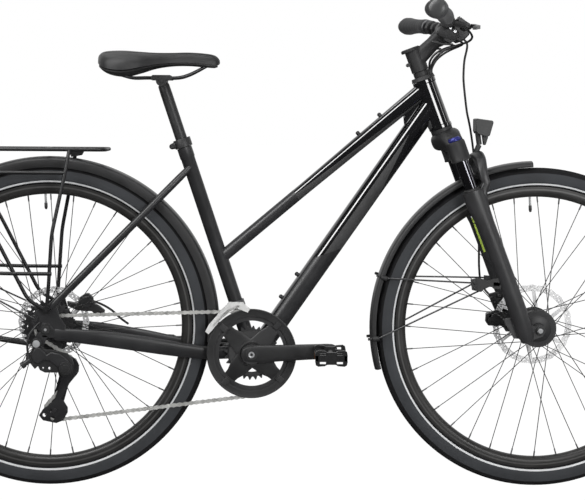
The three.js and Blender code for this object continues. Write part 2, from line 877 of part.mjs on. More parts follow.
const lowJoin = 218; // where the top tube meets the seat tube, up from the bottom bracket
const stayJoin = 430; // where the seat stays meet it
const chainstay = {
  halfWidth: 7.5,
  ringPoints: 8,
  // Along the stay: share of the way ahead, and the named size that each share scales.
  wayShares: [0, 0.2, 0.42, 0.63, 0.8, 1],
  dropShares: [0.16, 0.29, 0.54, 0.86, 1.04, 1],
  spreadShares: [1, 0.92, 0.71, 0.54, 0.42, 0.36],
  heightShares: [0.76, 0.93, 1, 0.92, 0.82, 0.72],
  spread: 70,
  halfHeight: 17.5,
  start: 18,
};
const stay = {
  radius: 7.5,
  bottomX: 8,
  bottomHeight: 46,
  spread: 70,
  // Share of the way up, and of the spread that is left there.
  wayShares: [0, 0.35, 0.7, 0.9, 1],
  spreadShares: [1, 0.86, 0.58, 0.32, 0.12],
  bridgeShare: 0.86,
  bridgeHalf: 26,
  bridgeRadius: 6,
  lowBridgeBehind: 63,
};
const dropout = {
  inner: 67.5,
  thickness: 6,
  height: 62,
  length: 62,
  slotHalf: axleRadius + running,
  slotLength: 16,
  bossRadius: 7,
  bossLength: 4.6,
};
const dropoutOuter = dropout.inner + dropout.thickness;
const hangerBolt = {
  x: rearAxle.x - 18,
  z: rearAxle.z - 29,
  radius: 11,
  arcFrom: -54 * degree,
  arcTo: -225 * degree,
};
const rackEyelet = { x: rearAxle.x + 2, z: rearAxle.z + 44 };
const fenderEyelet = { x: rearAxle.x - 24, z: rearAxle.z + 24 };

function chainstaySide() {
  const way = bottomBracket.x - rearAxle.x;
  const rings = chainstay.wayShares.map((share, i) => {
    const x = rearAxle.x + chainstay.start * (1 - share) + way * share;
    const z = rearAxle.z - bottomBracketDrop * chainstay.dropShares[i];
    const y = chainstay.spread * chainstay.spreadShares[i];
    const tall = chainstay.halfHeight * chainstay.heightShares[i];
    return Array.from({ length: chainstay.ringPoints }, (_, k) => {
      const angle = (k / chainstay.ringPoints) * fullTurn;
      return point(x, y + chainstay.halfWidth * Math.cos(angle), z + tall * Math.sin(angle));
    });
  });
  return loft(rings);
}

function seatStaySide() {
  const top = onSeatTube(stayJoin);
  const low = { x: rearAxle.x + stay.bottomX, z: rearAxle.z + stay.bottomHeight };
  const points = stay.wayShares.map((share, i) =>
    point(
      low.x + (top.x - low.x) * share,
      stay.spread * stay.spreadShares[i],
      low.z + (top.z - low.z) * share,
    ),
  );
  return bent(points, stay.radius, 5, 6);
}

function dropoutPlate() {
  const halfLength = dropout.length / 2;
  const outlineShares = [
    [-0.42, -0.2],
    [-1.05, 0.5],
    [-0.9, 1.05],
    [0, 1.6],
    [0.72, 1.7],
    [0.95, 0.9],
    [1.35, 0.25],
    [1.35, -0.55],
    [0.5, -0.62],
    [-0.25, -0.55],
  ];
  const outline = outlineShares.map(([x, z]) => [
    rearAxle.x + x * halfLength,
    rearAxle.z + z * halfLength,
  ]);
  return slab(outline, dropout.inner, dropoutOuter);
}

function slotCutter() {
  const bottom = rearAxle.z - dropout.slotLength * 2;
  const half = dropout.slotHalf;
  const round = circle(rearAxle.x, rearAxle.z, half, 8);
  const way = [
    [rearAxle.x - half, bottom],
    [rearAxle.x + half, bottom],
    [rearAxle.x + half, rearAxle.z],
    [rearAxle.x - half, rearAxle.z],
  ];
  const low = -dropoutOuter - overrun;
  const high = dropoutOuter + overrun;
  return [slab(round, low, high), slab(way, low, high)];
}

function hangerPlate() {
  const bolt = hangerBolt;
  const outline = [
    [rearAxle.x - bolt.radius, rearAxle.z + bolt.radius],
    [rearAxle.x + bolt.radius, rearAxle.z - bolt.radius / 2],
    ...arcPoints(bolt.x, bolt.z, bolt.radius, bolt.arcFrom, bolt.arcTo, 6),
  ];
  return slab(outline, -dropoutOuter, -dropout.inner);
}

const gusset = { halfThickness: 6, reach: 73, drop: 24.5 };
const downAhead = 11.7; // the down tube's axis passes this far ahead of the bottom bracket

function frameSolid() {
  const { x: shellX, z: shellZ } = bottomBracket;
  const shell = crossBar(shellX, shellZ, -tube.shellHalf, tube.shellHalf, tube.shellRadius, 12);
  const downFoot = point(shellX + downAhead, 0, shellZ);
  const down = rod(downFoot, onSteering(steer.downMeet), tube.downRadius, 10, tube.downRadius - bite);
  const top = rod(onSeatTube(lowJoin), onSteering(steer.topMeet), tube.topRadius, 8);
  const head = rod(onSteering(steer.headLow), onSteering(steer.headHigh), tube.headRadius, 12);
  const seat = rod(onSeatTube(0), onSeatTube(seatTubeLength), tube.seatRadius, 10);
  const gussetEnds = [onSteering(steer.downMeet), onSteering(steer.topMeet)];
  const gussetTip = [gussetEnds[0].x - gusset.reach, gussetEnds[0].z - gusset.drop];
  const gussetPlate = slab(
    [...gussetEnds.map((end) => [end.x, end.z]), gussetTip],
    -gusset.halfThickness,
    gusset.halfThickness,
  );
  const stayFoot = point(rearAxle.x + stay.bottomX, 0, rearAxle.z + stay.bottomHeight);
  const upperBridge = stayFoot.lerp(onSeatTube(stayJoin), stay.bridgeShare);
  const lowBridge = point(shellX - stay.lowBridgeBehind, 0, shellZ);
  const bridges = [upperBridge, lowBridge].map(({ x, z }) =>
    crossBar(x, z, -stay.bridgeHalf, stay.bridgeHalf, stay.bridgeRadius, 6),
  );
  const eyeletEnd = dropoutOuter + dropout.bossLength;
  const eyelets = [rackEyelet, fenderEyelet].map(({ x, z }) =>
    crossBar(x, z, dropoutOuter - bite, eyeletEnd, dropout.bossRadius, 6),
  );
  const parts = [
    shell,
    down,
    top,
    head,
    seat,
    gussetPlate,
    ...bridges,
    ...bothSides(chainstaySide()),
    ...bothSides(seatStaySide()),
    ...bothSides(dropoutPlate()),
    ...eyelets.flatMap(bothSides),
    hangerPlate(),
  ];
  const headEnds = [onSteering(steer.headLow - overrun), onSteering(steer.headHigh + overrun)];
  const headBore = bore(...headEnds, tube.headBore, 10);
  const seatTop = onSeatTube(seatTubeLength + overrun);
  const postRoom = seatpost.radius + running;
  const seatBore = rod(onSeatTube(seatpost.inside), seatTop, postRoom, seatpost.sides);
  const shellReach = tube.shellHalf + overrun;
  const shellBore = crossBore(shellX, shellZ, -shellReach, shellReach, tube.shellBore, 12);
  const hangerHole = crossBore(
    hangerBolt.x,
    hangerBolt.z,
    -dropoutOuter - overrun,
    -dropout.inner + overrun,
    derailleur.boltRadius + running,
    8,
  );
  return carved(joined(parts), headBore, seatBore, shellBore, slotCutter(), hangerHole);
}

// Seatpost with a curved head, its clamp, the saddle and its rails.

const seatpost = {
  radius: 13,
  sides: 10,
  inside: 300,
  bend: 580,
  setback: 16,
  headHeight: 47,
  headRadius: 12,
};
const collar = { height: 20, thickness: 4, earRadius: 6.5, earReach: 24 };
const derailleur = {
  boltRadius: 4,
  upperRadius: 12,
  knuckleRadius: 15,
  knuckleThickness: 20,
  linkThickness: 11,
};

piece("frame", frameSolid(), finishes.satin);

function seatClamp() {
  const low = onSeatTube(seatTubeLength - collar.height);
  const high = onSeatTube(seatTubeLength);
  const outer = tube.seatRadius + collar.thickness;
  const band = carved(
    rod(low, high, outer, 8),
    bore(
      onSeatTube(seatTubeLength - collar.height - overrun),
      onSeatTube(seatTubeLength + overrun),
      tube.seatRadius + seam,
      8,
    ),
  );
  const middle = seatTubeLength - collar.height / 2;
  const ear = rod(
    onSeatTube(middle, collar.earReach, -collar.height / 2),
    onSeatTube(middle, collar.earReach, collar.height / 2),
    collar.earRadius,
    6,
  );
  const bridgeFoot = onSeatTube(middle, tube.seatRadius + bite);
  const bridge = rod(bridgeFoot, onSeatTube(middle, collar.earReach), collar.earRadius, 6);
  return joined(band, bridge, ear);
}
piece("seat_clamp", seatClamp(), finishes.satin);

const saddle = {
  rear: 106,
  nose: 373,
  top: 966,
  depth: 50,
  halfWidth: 84,
  railRadius: 3.5,
  railSpread: 22,
  railRear: 30,
  railFront: 7,
  railRise: 54,
  railLift: 10,
  railDrop: 61,
  clampLength: 34,
  clampGap: 1.2,
  baseThickness: 4,
  baseShare: 0.93,
  hollowShare: 0.55,
};
// Along the saddle from the rear: shares of the way, of the half width, and of the depth at the
// crown and at the skirt.
const saddleWayShares = [0, 0.03, 0.1, 0.22, 0.34, 0.46, 0.6, 0.75, 0.9, 0.97, 1];
const saddleWidthShares = [0.42, 0.72, 0.94, 1, 0.9, 0.66, 0.42, 0.3, 0.24, 0.19, 0.1];
const saddleTopShares = [0.28, 0.12, 0.04, 0.02, 0.06, 0.1, 0.1, 0.08, 0.14, 0.24, 0.42];
const saddleSkirtShares = [0.6, 0.78, 0.94, 1, 0.88, 0.72, 0.62, 0.6, 0.66, 0.68, 0.6];
const saddleUnderShares = [
  [-0.92, -0.02],
  [-0.6, 0.35],
  [0.6, 0.35],
  [0.92, -0.02],
];

// The saddle's cross-section at a station: its x, half width, top and lower edge.
function saddleStation(i) {
  return {
    x: saddle.rear + (saddle.nose - saddle.rear) * saddleWayShares[i],
    half: saddle.halfWidth * saddleWidthShares[i],
    top: saddle.top - saddle.depth * saddleTopShares[i],
    skirt: saddle.top - saddle.depth * saddleSkirtShares[i],
  };
}

function saddleUnder(i, y, z) {
  const { x, half, top, skirt } = saddleStation(i);
  return point(x, y * half, skirt + z * (top - skirt) * saddle.hollowShare);
}

function saddleRing(i) {
  const { x, half, top, skirt } = saddleStation(i);
  const crownShares = [
    [1, 0],
    [0.97, 0.42],
    [0.82, 0.78],
    [0.5, 0.96],
    [0, 1],
    [-0.5, 0.96],
    [-0.82, 0.78],
    [-0.97, 0.42],
    [-1, 0],
  ];
  const over = crownShares.map(([y, z]) => point(x, y * half, skirt + z * (top - skirt)));
  return [...over, ...saddleUnderShares.map(([y, z]) => saddleUnder(i, y, z))];
}
piece("saddle", loft(saddleWayShares.map((_, i) => saddleRing(i))), finishes.rubber);

const postHead = onSeatTube(seatpost.bend).add(point(-seatpost.setback, 0, seatpost.headHeight));
const railZ = saddle.top - saddle.railDrop;

// The moulded shell under the cushion, with the rails that are set into it.
function saddleBase() {
  const inner = saddleWayShares.map((_, i) => i).slice(2, -2);
  const shellGap = seam * 2;
  const rings = inner.map((i) => {
    const row = saddleUnderShares.map(([y, z]) => saddleUnder(i, y * saddle.baseShare, z));
    const top = row.map((p) => p.clone().add(point(0, 0, -shellGap)));
    const low = row.map((p) => p.clone().add(point(0, 0, -shellGap - saddle.baseThickness))).reverse();
    return [...top, ...low];
  });
  const seatOf = (i) => saddleUnder(i, 0, saddleUnderShares[1][1]).z - shellGap - saddle.railRadius - seam;
  const backX = saddleStation(3).x;
  const frontX = saddleStation(8).x;
  const side = (s) => [
    point(backX, s * saddle.railRear, seatOf(3)),
    point(backX + saddle.clampLength, s * (saddle.railSpread + saddle.railRadius), (railZ + seatOf(3)) / 2),
    point(postHead.x - saddle.clampLength, s * saddle.railSpread, railZ),
    point(postHead.x, s * saddle.railSpread, railZ),
    point(postHead.x + saddle.clampLength, s * saddle.railSpread, railZ),
    point(frontX - saddle.railRise, s * (saddle.railSpread - saddle.railRadius), railZ + saddle.railLift),
    point(frontX, s * saddle.railFront, seatOf(8)),
  ];
  const rails = [1, -1].map((s) => bent(side(s), saddle.railRadius, 8, 5));
  return joined(loft(rings), rails);
}
piece("saddle_base", saddleBase(), finishes.plastic);

function seatpostSolid() {
  const foot = onSeatTube(seatpost.inside + overrun);
  const straight = rod(foot, onSeatTube(seatpost.bend), seatpost.radius, seatpost.sides);
  const top = point(postHead.x, 0, railZ - saddle.railRadius - seam - seatpost.headRadius / 2);
  const neckFoot = onSeatTube(seatpost.bend - seatpost.radius / 2);
  const neck = rod(neckFoot, top, seatpost.radius, 8, seatpost.headRadius);
  const clampHalf = saddle.clampLength / 2;
  const clampTop = railZ - saddle.railRadius - saddle.clampGap;
  const cradleWidth = saddle.railSpread + saddle.railRadius;
  const cradle = slab(
    [
      [postHead.x - clampHalf, clampTop - seatpost.headRadius / 2],
      [postHead.x + clampHalf, clampTop - seatpost.headRadius / 2],
      [postHead.x + clampHalf, clampTop],
      [postHead.x - clampHalf, clampTop],
    ],
    -cradleWidth,
    cradleWidth,
  );
  return joined(straight, neck, cradle);
}
piece("seatpost", seatpostSolid(), finishes.satin);

// Bottom bracket and headset.

const cup = { radius: 22, length: 8, wall: 3 };

function bottomBracketSolid() {
  const face = tube.shellHalf + seam;
  const sleeve = tube.shellBore - seam;
  const hole = crank.spindleRadius + running;
  const rightEnd = cup.wall - cup.length - face;
  const leftEnd = cup.length + face;
  const body = [
    [sleeve, -face],
    [cup.radius, -face],
    [cup.radius, rightEnd],
    [hole, rightEnd],
    [hole, leftEnd],
    [cup.radius, leftEnd],
    [cup.radius, face],
    [sleeve, face],
  ];
  return moved(turned(body, 12), bottomBracket.x, 0, bottomBracket.z);
}
piece("bottom_bracket", bottomBracketSolid(), finishes.darkSteel);

const headset = { coverHeight: 9, coverRadius: 27, coverTopRadius: 25, bore: 15.4 };

const coverTop = steer.headHigh + seam + headset.coverHeight;

function headsetCover() {
  const low = steer.headHigh + seam;
  const ends = [onSteering(low), onSteering(coverTop)];
  const cover = rod(...ends, headset.coverRadius, 12, headset.coverTopRadius);
  const holeEnds = [onSteering(low - overrun), onSteering(coverTop + overrun)];
  return carved(cover, bore(...holeEnds, headset.bore, 10));
}
piece("headset_cover", headsetCover(), finishes.matte);

// Fork and everything that turns with the handlebar, in a group whose +Z is the steering axis.

const steering = new THREE.Group();
steering.position.set(steerFoot.x, 0, steerFoot.z);
steering.rotation.y = -steeringLean;
bicycle.add(steering);

const fork = {
  steererRadius: 14.3,
  legSpread: 63,
  legAhead: 11,
  stanchionRadius: 15,
  stanchionFoot: 232,
  crownLow: 441,
  crownHigh: 478,
  crownStep: 2,
  crownLowShare: 0.96,
  crownTopShare: 0.78,
  crownTopWidth: 0.61,
  capLow: 409,
  capHigh: 455,
  capRadius: 22,
  legTop: 340,
  legFoot: 4,
  legRadius: 18.5,
  legFootRadius: 16.5,
  boreFoot: 160,
  dropoutInner: 50,
  dropoutThickness: 9,
  dropoutHalf: 15,
  archLow: 318,
  archHigh: 416,
  archRear: 39.5,
  archFront: 62,
  archThickness: 11,
  archDepth: 17.6,
};

function forkCrown() {
  const steererTop = stem.clampHigh - bite;
  const steerer = rod(point(0, 0, fork.crownLow), point(0, 0, steererTop), fork.steererRadius, 10);
  const crownShares = [
    [-1, 0.25],
    [-0.55, 0.9],
    [0.55, 0.9],
    [1, 0.25],
    [1, -0.4],
    [0.5, -0.85],
    [-0.5, -0.85],
    [-1, -0.4],
  ];
  const half = fork.legSpread + fork.capRadius / 2;
  const depth = tube.headRadius + fork.legAhead;
  const ringAt = (z, depthShare, widthShare) =>
    crownShares.map(([y, x]) =>
      point(fork.legAhead / 2 + x * depth * depthShare, y * half * widthShare, z),
    );
  const block = loft([
    ringAt(fork.crownLow, fork.crownLowShare, fork.crownLowShare),
    ringAt(fork.capHigh - fork.crownStep, 1, 1),
    ringAt(fork.capHigh, 1, fork.crownTopWidth),
    ringAt(fork.crownHigh, fork.crownTopShare, fork.crownTopWidth * fork.crownTopShare),
  ]);
  const race = rod(
    point(0, 0, fork.crownHigh - bite),
    point(0, 0, steer.headLow - seam),
    tube.headRadius,
    12,
  );
  const legs = [1, -1].flatMap((side) => {
    const at = (z) => point(fork.legAhead, side * fork.legSpread, z);
    return [
      rod(at(fork.capLow), at(fork.capHigh), fork.capRadius, 10),
      rod(at(fork.stanchionFoot), at(fork.capLow + bite), fork.stanchionRadius, 8),
    ];
  });
  return joined(block, race, steerer, legs);
}

// A lower leg's radius at a height above the axle's foot on the steering axis.
function legRadiusAt(height) {
  const share = (height - fork.legFoot) / (fork.legTop - fork.legFoot);
  return fork.legFootRadius + (fork.legRadius - fork.legFootRadius) * share;
}

function forkLowers() {
  const legs = [1, -1].map((side) => {
    const at = (z) => point(fork.legAhead, side * fork.legSpread, z);
    const leg = rod(at(fork.legFoot), at(fork.legTop), fork.legFootRadius, 10, fork.legRadius);
    const inner = side * fork.dropoutInner;
    const outer = side * (fork.dropoutInner + fork.dropoutThickness);
    const outlineShares = [
      [-1.1, 3.4],
      [0.6, 3],
      [2.6, 1],
      [3.9, 0.3],
      [4.1, -0.5],
      [3.5, -1],
      [2.2, -1],
      [0.8, -0.4],
      [-0.6, 0.2],
    ];
    const unit = fork.dropoutHalf;
    const outline = outlineShares.map(([x, z]) => [fork.legAhead - unit + x * unit, z * unit]);
    return [leg, slab(outline, Math.min(inner, outer), Math.max(inner, outer))];
  });
  const archShares = [
    [-1, 0],
    [-0.94, 0.62],
    [-0.5, 1],
    [0.5, 1],
    [0.94, 0.62],
    [1, 0],
  ];
  const archAt = ([y, z], inset) => {
    const reach = fork.legSpread + fork.archThickness / 2 - inset;
    const rise = fork.archHigh - fork.archLow - inset;
    return [y * reach, fork.archLow + z * rise];
  };
  const outer = archShares.map((share) => archAt(share, 0));
  const inner = archShares.map((share) => archAt(share, fork.archDepth)).reverse();
  const archRing = (x) => [...outer, ...inner].map(([y, z]) => point(x, y, z));
  const arch = loft([archRing(fork.archRear), archRing(fork.archFront)]);
  const feet = [1, -1].map((side) => {
    const y = side * fork.legSpread;
    const half = fork.archThickness;
    const ringAt = (x) => [
      point(x, y - half, fork.archLow - half * 2),
      point(x, y + half, fork.archLow - half * 2),
      point(x, y + half, fork.archLow + half),
      point(x, y - half, fork.archLow + half),
    ];
    return loft([ringAt(fork.legAhead + fork.stanchionRadius / 2), ringAt(fork.archFront)]);
  });
  const bores = [1, -1].map((side) => {
    const at = (z) => point(fork.legAhead, side * fork.legSpread, z);
    return rod(at(fork.boreFoot), at(fork.legTop + overrun), fork.stanchionRadius + running, 8);
  });
  const axleHole = crossBore(rake, 0, -fork.legSpread * 2, fork.legSpread * 2, axleRadius + seam, 8);
  return carved(joined(legs.flat(), arch, feet), bores, axleHole);
}

const stem = {
  clampLow: 624,
  clampHigh: 674,
  clampRadius: 19,
  length: 91,
  rise: 36,
  armFoot: 653,
  bodyHalf: 16,
  barClampRadius: 22,
  barClampHalf: 24,
  barRadius: 15.9,
  capHeight: 4,
};
const barCentre = {
  x: Math.sqrt(stem.length ** 2 - stem.rise ** 2),
  z: stem.armFoot + stem.rise,
};

piece("fork_crown", forkCrown(), finishes.satin, steering);
piece("fork_lowers", forkLowers(), finishes.satin, steering);

const axleNut = { length: 6, radius: 9.5 };

function axleSolid(halfLength) {
  const shaft = crossBar(0, 0, -halfLength, halfLength, axleRadius, 8);
  const end = halfLength + axleNut.length;
  const nut = crossBar(0, 0, halfLength - bite, end, axleNut.radius, 8);
  return joined(shaft, bothSides(nut));
}
const frontAxleHalf = fork.dropoutInner + fork.dropoutThickness + seam + bite;
const frontAxleSolid = moved(axleSolid(frontAxleHalf), rake, 0, 0);
piece("front_axle", frontAxleSolid, finishes.steel, steering);
const rearAxleHalf = dropoutOuter + seam + bite;
piece("rear_axle", moved(axleSolid(rearAxleHalf), rearAxle.x, 0, rearAxle.z), finishes.steel);

function stemSolid() {
  const clamp = rod(point(0, 0, stem.clampLow), point(0, 0, stem.clampHigh), stem.clampRadius, 10);
  const low = coverTop + seam;
  const spacers = rod(point(0, 0, low), point(0, 0, stem.clampLow + bite), stem.clampRadius - bite, 10);
  const lid = rod(
    point(0, 0, stem.clampHigh - bite),
    point(0, 0, stem.clampHigh + stem.capHeight),
    stem.clampRadius - bite,
    8,
  );
  const axisMiddle = (stem.clampLow + stem.clampHigh) / 2;
  const arm = rod(
    point(0, 0, axisMiddle),
    point(barCentre.x, 0, barCentre.z),
    stem.bodyHalf + bite,
    8,
    stem.bodyHalf,
  );
  const { x, z } = barCentre;
  const half = stem.barClampHalf;
  const barClamp = crossBar(x, z, -half, half, stem.barClampRadius, 10);
  const steererBore = bore(
    point(0, 0, low - overrun),
    point(0, 0, stem.clampHigh - seam),
    fork.steererRadius + seam,
    10,
  );
  const barBore = crossBore(x, z, -half - overrun, half + overrun, stem.barRadius + seam, 10);
  return carved(joined(clamp, spacers, lid, arm, barClamp), steererBore, barBore);
}
piece("stem", stemSolid(), finishes.satin, steering);

const dial = { radius: 15, topRadius: 12, height: 9 };
piece(
  "lockout_dial",
  rod(
    point(fork.legAhead, -fork.legSpread, fork.capHigh + seam),
    point(fork.legAhead, -fork.legSpread, fork.capHigh + seam + dial.height),
    dial.radius,
    12,
    dial.topRadius,
  ),
  finishes.blue,
  steering,
);

// Handlebar, in a group level with the ground and centred in the stem's clamp.

const cockpit = new THREE.Group();
cockpit.position.set(barCentre.x, 0, barCentre.z);
cockpit.rotation.y = steeringLean;
steering.add(cockpit);

const bar = {
  halfWidth: 308,
  endRadius: 11,
  bulge: 6, // by which the thick middle shows past the stem's clamp
  sweep: 54,
  runOutShare: 0.08, // of the half width, by which a cutter passes what it cuts
  rise: 28,
  // Share of the half width, of the sweep and of the rise along the bar.
  wayShares: [0, 0.11, 0.3, 0.62, 1],
  sweepShares: [0, 0, 0.06, 0.45, 1],
  riseShares: [0, 0, 0.3, 0.72, 1],
};

function barPoint(share) {
  const last = bar.wayShares.length - 1;
  const i = bar.wayShares.findIndex((_, k) => k === last - 1 || share <= bar.wayShares[k + 1]);
  const from = bar.wayShares[i];
  const part = (share - from) / (bar.wayShares[i + 1] - from);
  const mix = (list) => list[i] + (list[i + 1] - list[i]) * part;
  return point(-bar.sweep * mix(bar.sweepShares), bar.halfWidth * share, bar.rise * mix(bar.riseShares));
}

// The bar as straight runs through its points, mitred where they meet.
function barPipe(radius, sides) {
  const half = bar.wayShares.map((share) => barPoint(share));
  const other = half.slice(1).map((p) => point(p.x, -p.y, p.z)).reverse();
  const rings = [...other, ...half].map((centre) =>
    Array.from({ length: sides }, (_, k) => {
      const angle = (k / sides) * fullTurn;
      return point(centre.x + radius * Math.cos(angle), centre.y, centre.z + radius * Math.sin(angle));
    }),
  );
  return loft(rings);
}

// The room that the bar takes up in whatever is clamped on it, on the left side.
function barRoom(from, to) {
  const shares = [from, ...bar.wayShares.filter((share) => share > from && share < to), to];
  const radius = bar.endRadius + running;
  const rings = shares.map((share) => {
    const centre = barPoint(Math.min(share, 1));
    return Array.from({ length: 8 }, (_, k) => {
      const angle = (k / 8) * fullTurn;
      const y = bar.halfWidth * share;
      return point(centre.x + radius * Math.cos(angle), y, centre.z + radius * Math.sin(angle));
    });
  });
  return loft(rings);
}

function handlebar() {
  const reach = stem.barClampHalf + bar.bulge;
  const middle = crossBar(0, 0, -reach, reach, stem.barRadius, 10);
  return joined(barPipe(bar.endRadius, 8), middle);
}
piece("handlebar", handlebar(), finishes.matte, cockpit);

const grip = { fromShare: 0.58, toShare: 1.02, radius: 17.5, wingReach: 15, ringPoints: 8 };
const gripWayShares = [0, 0.06, 0.3, 0.55, 0.8, 0.94, 1];
const gripSizeShares = [0.86, 1, 0.92, 0.92, 1.02, 1.08, 0.9];
const gripWingShares = [0, 0, 0.15, 0.55, 1, 1, 0.8];

function gripSolid() {
  const rings = gripWayShares.map((way, i) => {
    const share = grip.fromShare + (grip.toShare - grip.fromShare) * way;
    const centre = barPoint(Math.min(share, 1));
    const y = bar.halfWidth * share;
    return Array.from({ length: grip.ringPoints }, (_, k) => {
      const angle = (k / grip.ringPoints) * fullTurn;
      const wing = Math.max(0, -Math.cos(angle)) * grip.wingReach * gripWingShares[i];
      const radius = grip.radius * gripSizeShares[i];
      return point(centre.x + radius * Math.cos(angle) - wing, y, centre.z + radius * Math.sin(angle));
    });
  });
  return carved(loft(rings), barRoom(grip.fromShare - bar.runOutShare, 1 + seam / bar.halfWidth));
}

// Brake lever units: clamp ring, reservoir body, blade. Shown for the left side and mirrored.

const brake = {
  share: 0.46,
  clampHalf: 8,
  clampRadius: 17,
  bodyRadius: 10,
  armRadius: 7,
  bodyReach: 40,
  bodyDrop: 12,
  pivotAhead: 40,
  bladeLength: 96,
  bladeHalf: 5,
  bladeThickness: 9,
  taperShare: 0.12,
};
const shifter = {
  share: 0.35,
  clampHalf: 6,
  clampRadius: 16,
  podRadius: 15,
  podHalf: 12,
  podDrop: 28,
  podAhead: 2,
};

function clampRing(share, half, radius) {
  const centre = barPoint(share);
  const near = barPoint(share + bar.runOutShare).sub(centre).normalize();
  const from = centre.clone().addScaledVector(near, -half);
  const to = centre.clone().addScaledVector(near, half);
  return { band: rod(from, to, radius, 8), centre };
}

function brakeMaster() {
  const { band, centre } = clampRing(brake.share, brake.clampHalf, brake.clampRadius);
  const root = point(centre.x + brake.bodyRadius, centre.y, centre.z - brake.bodyDrop / 2);
  const inner = point(centre.x + brake.pivotAhead, centre.y - brake.bodyReach, centre.z - brake.bodyDrop);
  const outer = point(inner.x, centre.y, inner.z);
  const arm = rod(root, outer, brake.armRadius, 5);
  const reservoir = rod(inner, outer, brake.bodyRadius, 6);
  const room = barRoom(brake.share - bar.runOutShare, brake.share + bar.runOutShare);
  return joined(carved(joined(band, arm), room), reservoir);
}

const hexagonFlatShare = Math.cos(Math.PI / 6);

const bladePivot = () => {
  const centre = barPoint(brake.share);
  return point(
    centre.x + brake.pivotAhead + brake.bodyRadius * hexagonFlatShare + brake.bladeHalf + running,
    centre.y,
    centre.z - brake.bodyDrop,
  );
};

function brakeBlade() {
  const pivot = bladePivot();
  const { bladeHalf, bladeLength } = brake;
  const end = pivot.clone().add(point(-bladeHalf * 2, bladeLength, -bladeHalf * 2));
  const middle = pivot.clone().add(point(bladeHalf, bladeLength / 2, -bladeHalf));
  const rings = [pivot, middle, end].map((p, i) => {
    const size = 1 - i * brake.taperShare;
    const half = brake.bladeHalf * size;
    const tall = (brake.bladeThickness / 2) * size;
    return [
      point(p.x - half, p.y, p.z - tall),
      point(p.x + half, p.y, p.z - tall),
      point(p.x + half, p.y, p.z + tall),
      point(p.x - half, p.y, p.z + tall),
    ];
  });
  return loft(rings);
}

function shifterBody() {
  const { band, centre } = clampRing(shifter.share, shifter.clampHalf, shifter.clampRadius);
  const podX = centre.x + shifter.podAhead;
  const podZ = centre.z - shifter.podDrop;
  const ends = [centre.y - shifter.podHalf, centre.y + shifter.podHalf];
  const pod = crossBar(podX, podZ, ...ends, shifter.podRadius, 8);
  const room = barRoom(shifter.share - bar.runOutShare, shifter.share + bar.runOutShare);
  return joined(carved(band, room), pod);
}

const thumbLever = { reach: 34, width: 10, thickness: 4, drop: 6, behind: 3 };

function thumbLeverSolid() {
  const centre = barPoint(shifter.share);
  const x = centre.x + shifter.podAhead - thumbLever.behind;
  const z = centre.z - shifter.podDrop - shifter.podRadius - seam - thumbLever.thickness;
  const outline = [
    [x + thumbLever.width, z],
    [x + thumbLever.width, z + thumbLever.thickness],
    [x - thumbLever.width, z + thumbLever.thickness],
    [x - thumbLever.reach, z + thumbLever.thickness + thumbLever.drop],
    [x - thumbLever.reach, z + thumbLever.drop],
    [x - thumbLever.width, z],
  ];
  return slab(outline, centre.y - thumbLever.width / 2, centre.y + thumbLever.width / 2);
}

const sideNames = ["left", "right"];
const onBothSides = (name, geometry, finish) =>
  bothSides(geometry).forEach((side, i) => piece(`${name}_${sideNames[i]}`, side, finish, cockpit));
onBothSides("grip", gripSolid(), finishes.rubber);
onBothSides("brake_master", brakeMaster(), finishes.plastic);
onBothSides("brake_lever", brakeBlade(), finishes.satin);
onBothSides("shifter", shifterBody(), finishes.plastic);
onBothSides("shift_lever", thumbLeverSolid(), finishes.plastic);

// Rear derailleur: body on the hanger, cage, two pulleys.

const cage = {
  plate: 2,
  halfGap: 4.6,
  radiusShare: 0.55, // of a pulley's pitch radius
  pinRadius: 3.6,
};

function derailleurBody() {
  const { boltRadius, knuckleRadius, knuckleThickness, upperRadius, linkThickness } = derailleur;
  const { x: boltX, z: boltZ } = hangerBolt;
  const high = -dropoutOuter - seam;
  const far = high - knuckleThickness;
  const bolt = crossBar(boltX, boltZ, far, -dropout.inner, boltRadius, 8);
  const upperKnuckle = crossBar(boltX, boltZ, far, high, upperRadius, 10);
  const linkShares = [
    [0, 0.55],
    [0.12, 0.12],
    [0.45, -0.02],
    [0.8, -0.3],
    [1, -0.1],
    [1, 0.25],
    [0.55, 0.4],
    [0.3, 0.7],
    [0.12, 0.95],
  ];
  const startX = boltX - knuckleRadius;
  const way = cagePivot.x - startX;
  const rise = boltZ - cagePivot.z;
  const outline = linkShares.map(([x, z]) => [startX + x * way, cagePivot.z + z * rise]);
  const link = slab(outline, far, far + linkThickness);
  const near = pulleyY - cage.halfGap - cage.plate - seam;
  const { x, z } = cagePivot;
  const lowerKnuckle = crossBar(x, z, far, near, knuckleRadius, 12);
  const pinBore = crossBore(x, z, far + cage.plate, near + overrun, cage.pinRadius + running, 8);
  return carved(joined(bolt, upperKnuckle, link, lowerKnuckle), pinBore);
}
piece("rear_derailleur", derailleurBody(), finishes.satin);

function cagePlates() {
  const radius = pitchRadius(pulleyTeeth) * cage.radiusShare;
  const arc = (centre, turn) =>
    arcPoints(centre.x, centre.z, radius, cageAngle + turn, cageAngle + turn + Math.PI, 6);
  const outline = [...arc(tensionPivot, -quarterTurn), ...arc(cagePivot, quarterTurn)];
  const inner = pulleyY + cage.halfGap;
  const outer = pulleyY - cage.halfGap;
  const plates = [
    slab(outline, inner, inner + cage.plate),
    slab(outline, outer - cage.plate, outer),
  ];
  const low = outer - cage.plate / 2;
  const high = inner + cage.plate / 2;
  const pinLow = low - derailleur.knuckleThickness / 2;
  const knucklePin = crossBar(cagePivot.x, cagePivot.z, pinLow, high, cage.pinRadius, 8);
  const tensionPin = crossBar(tensionPivot.x, tensionPivot.z, low, high, cage.pinRadius, 8);
  return joined(plates, knucklePin, tensionPin);
}
piece("derailleur_cage", cagePlates(), finishes.satin);

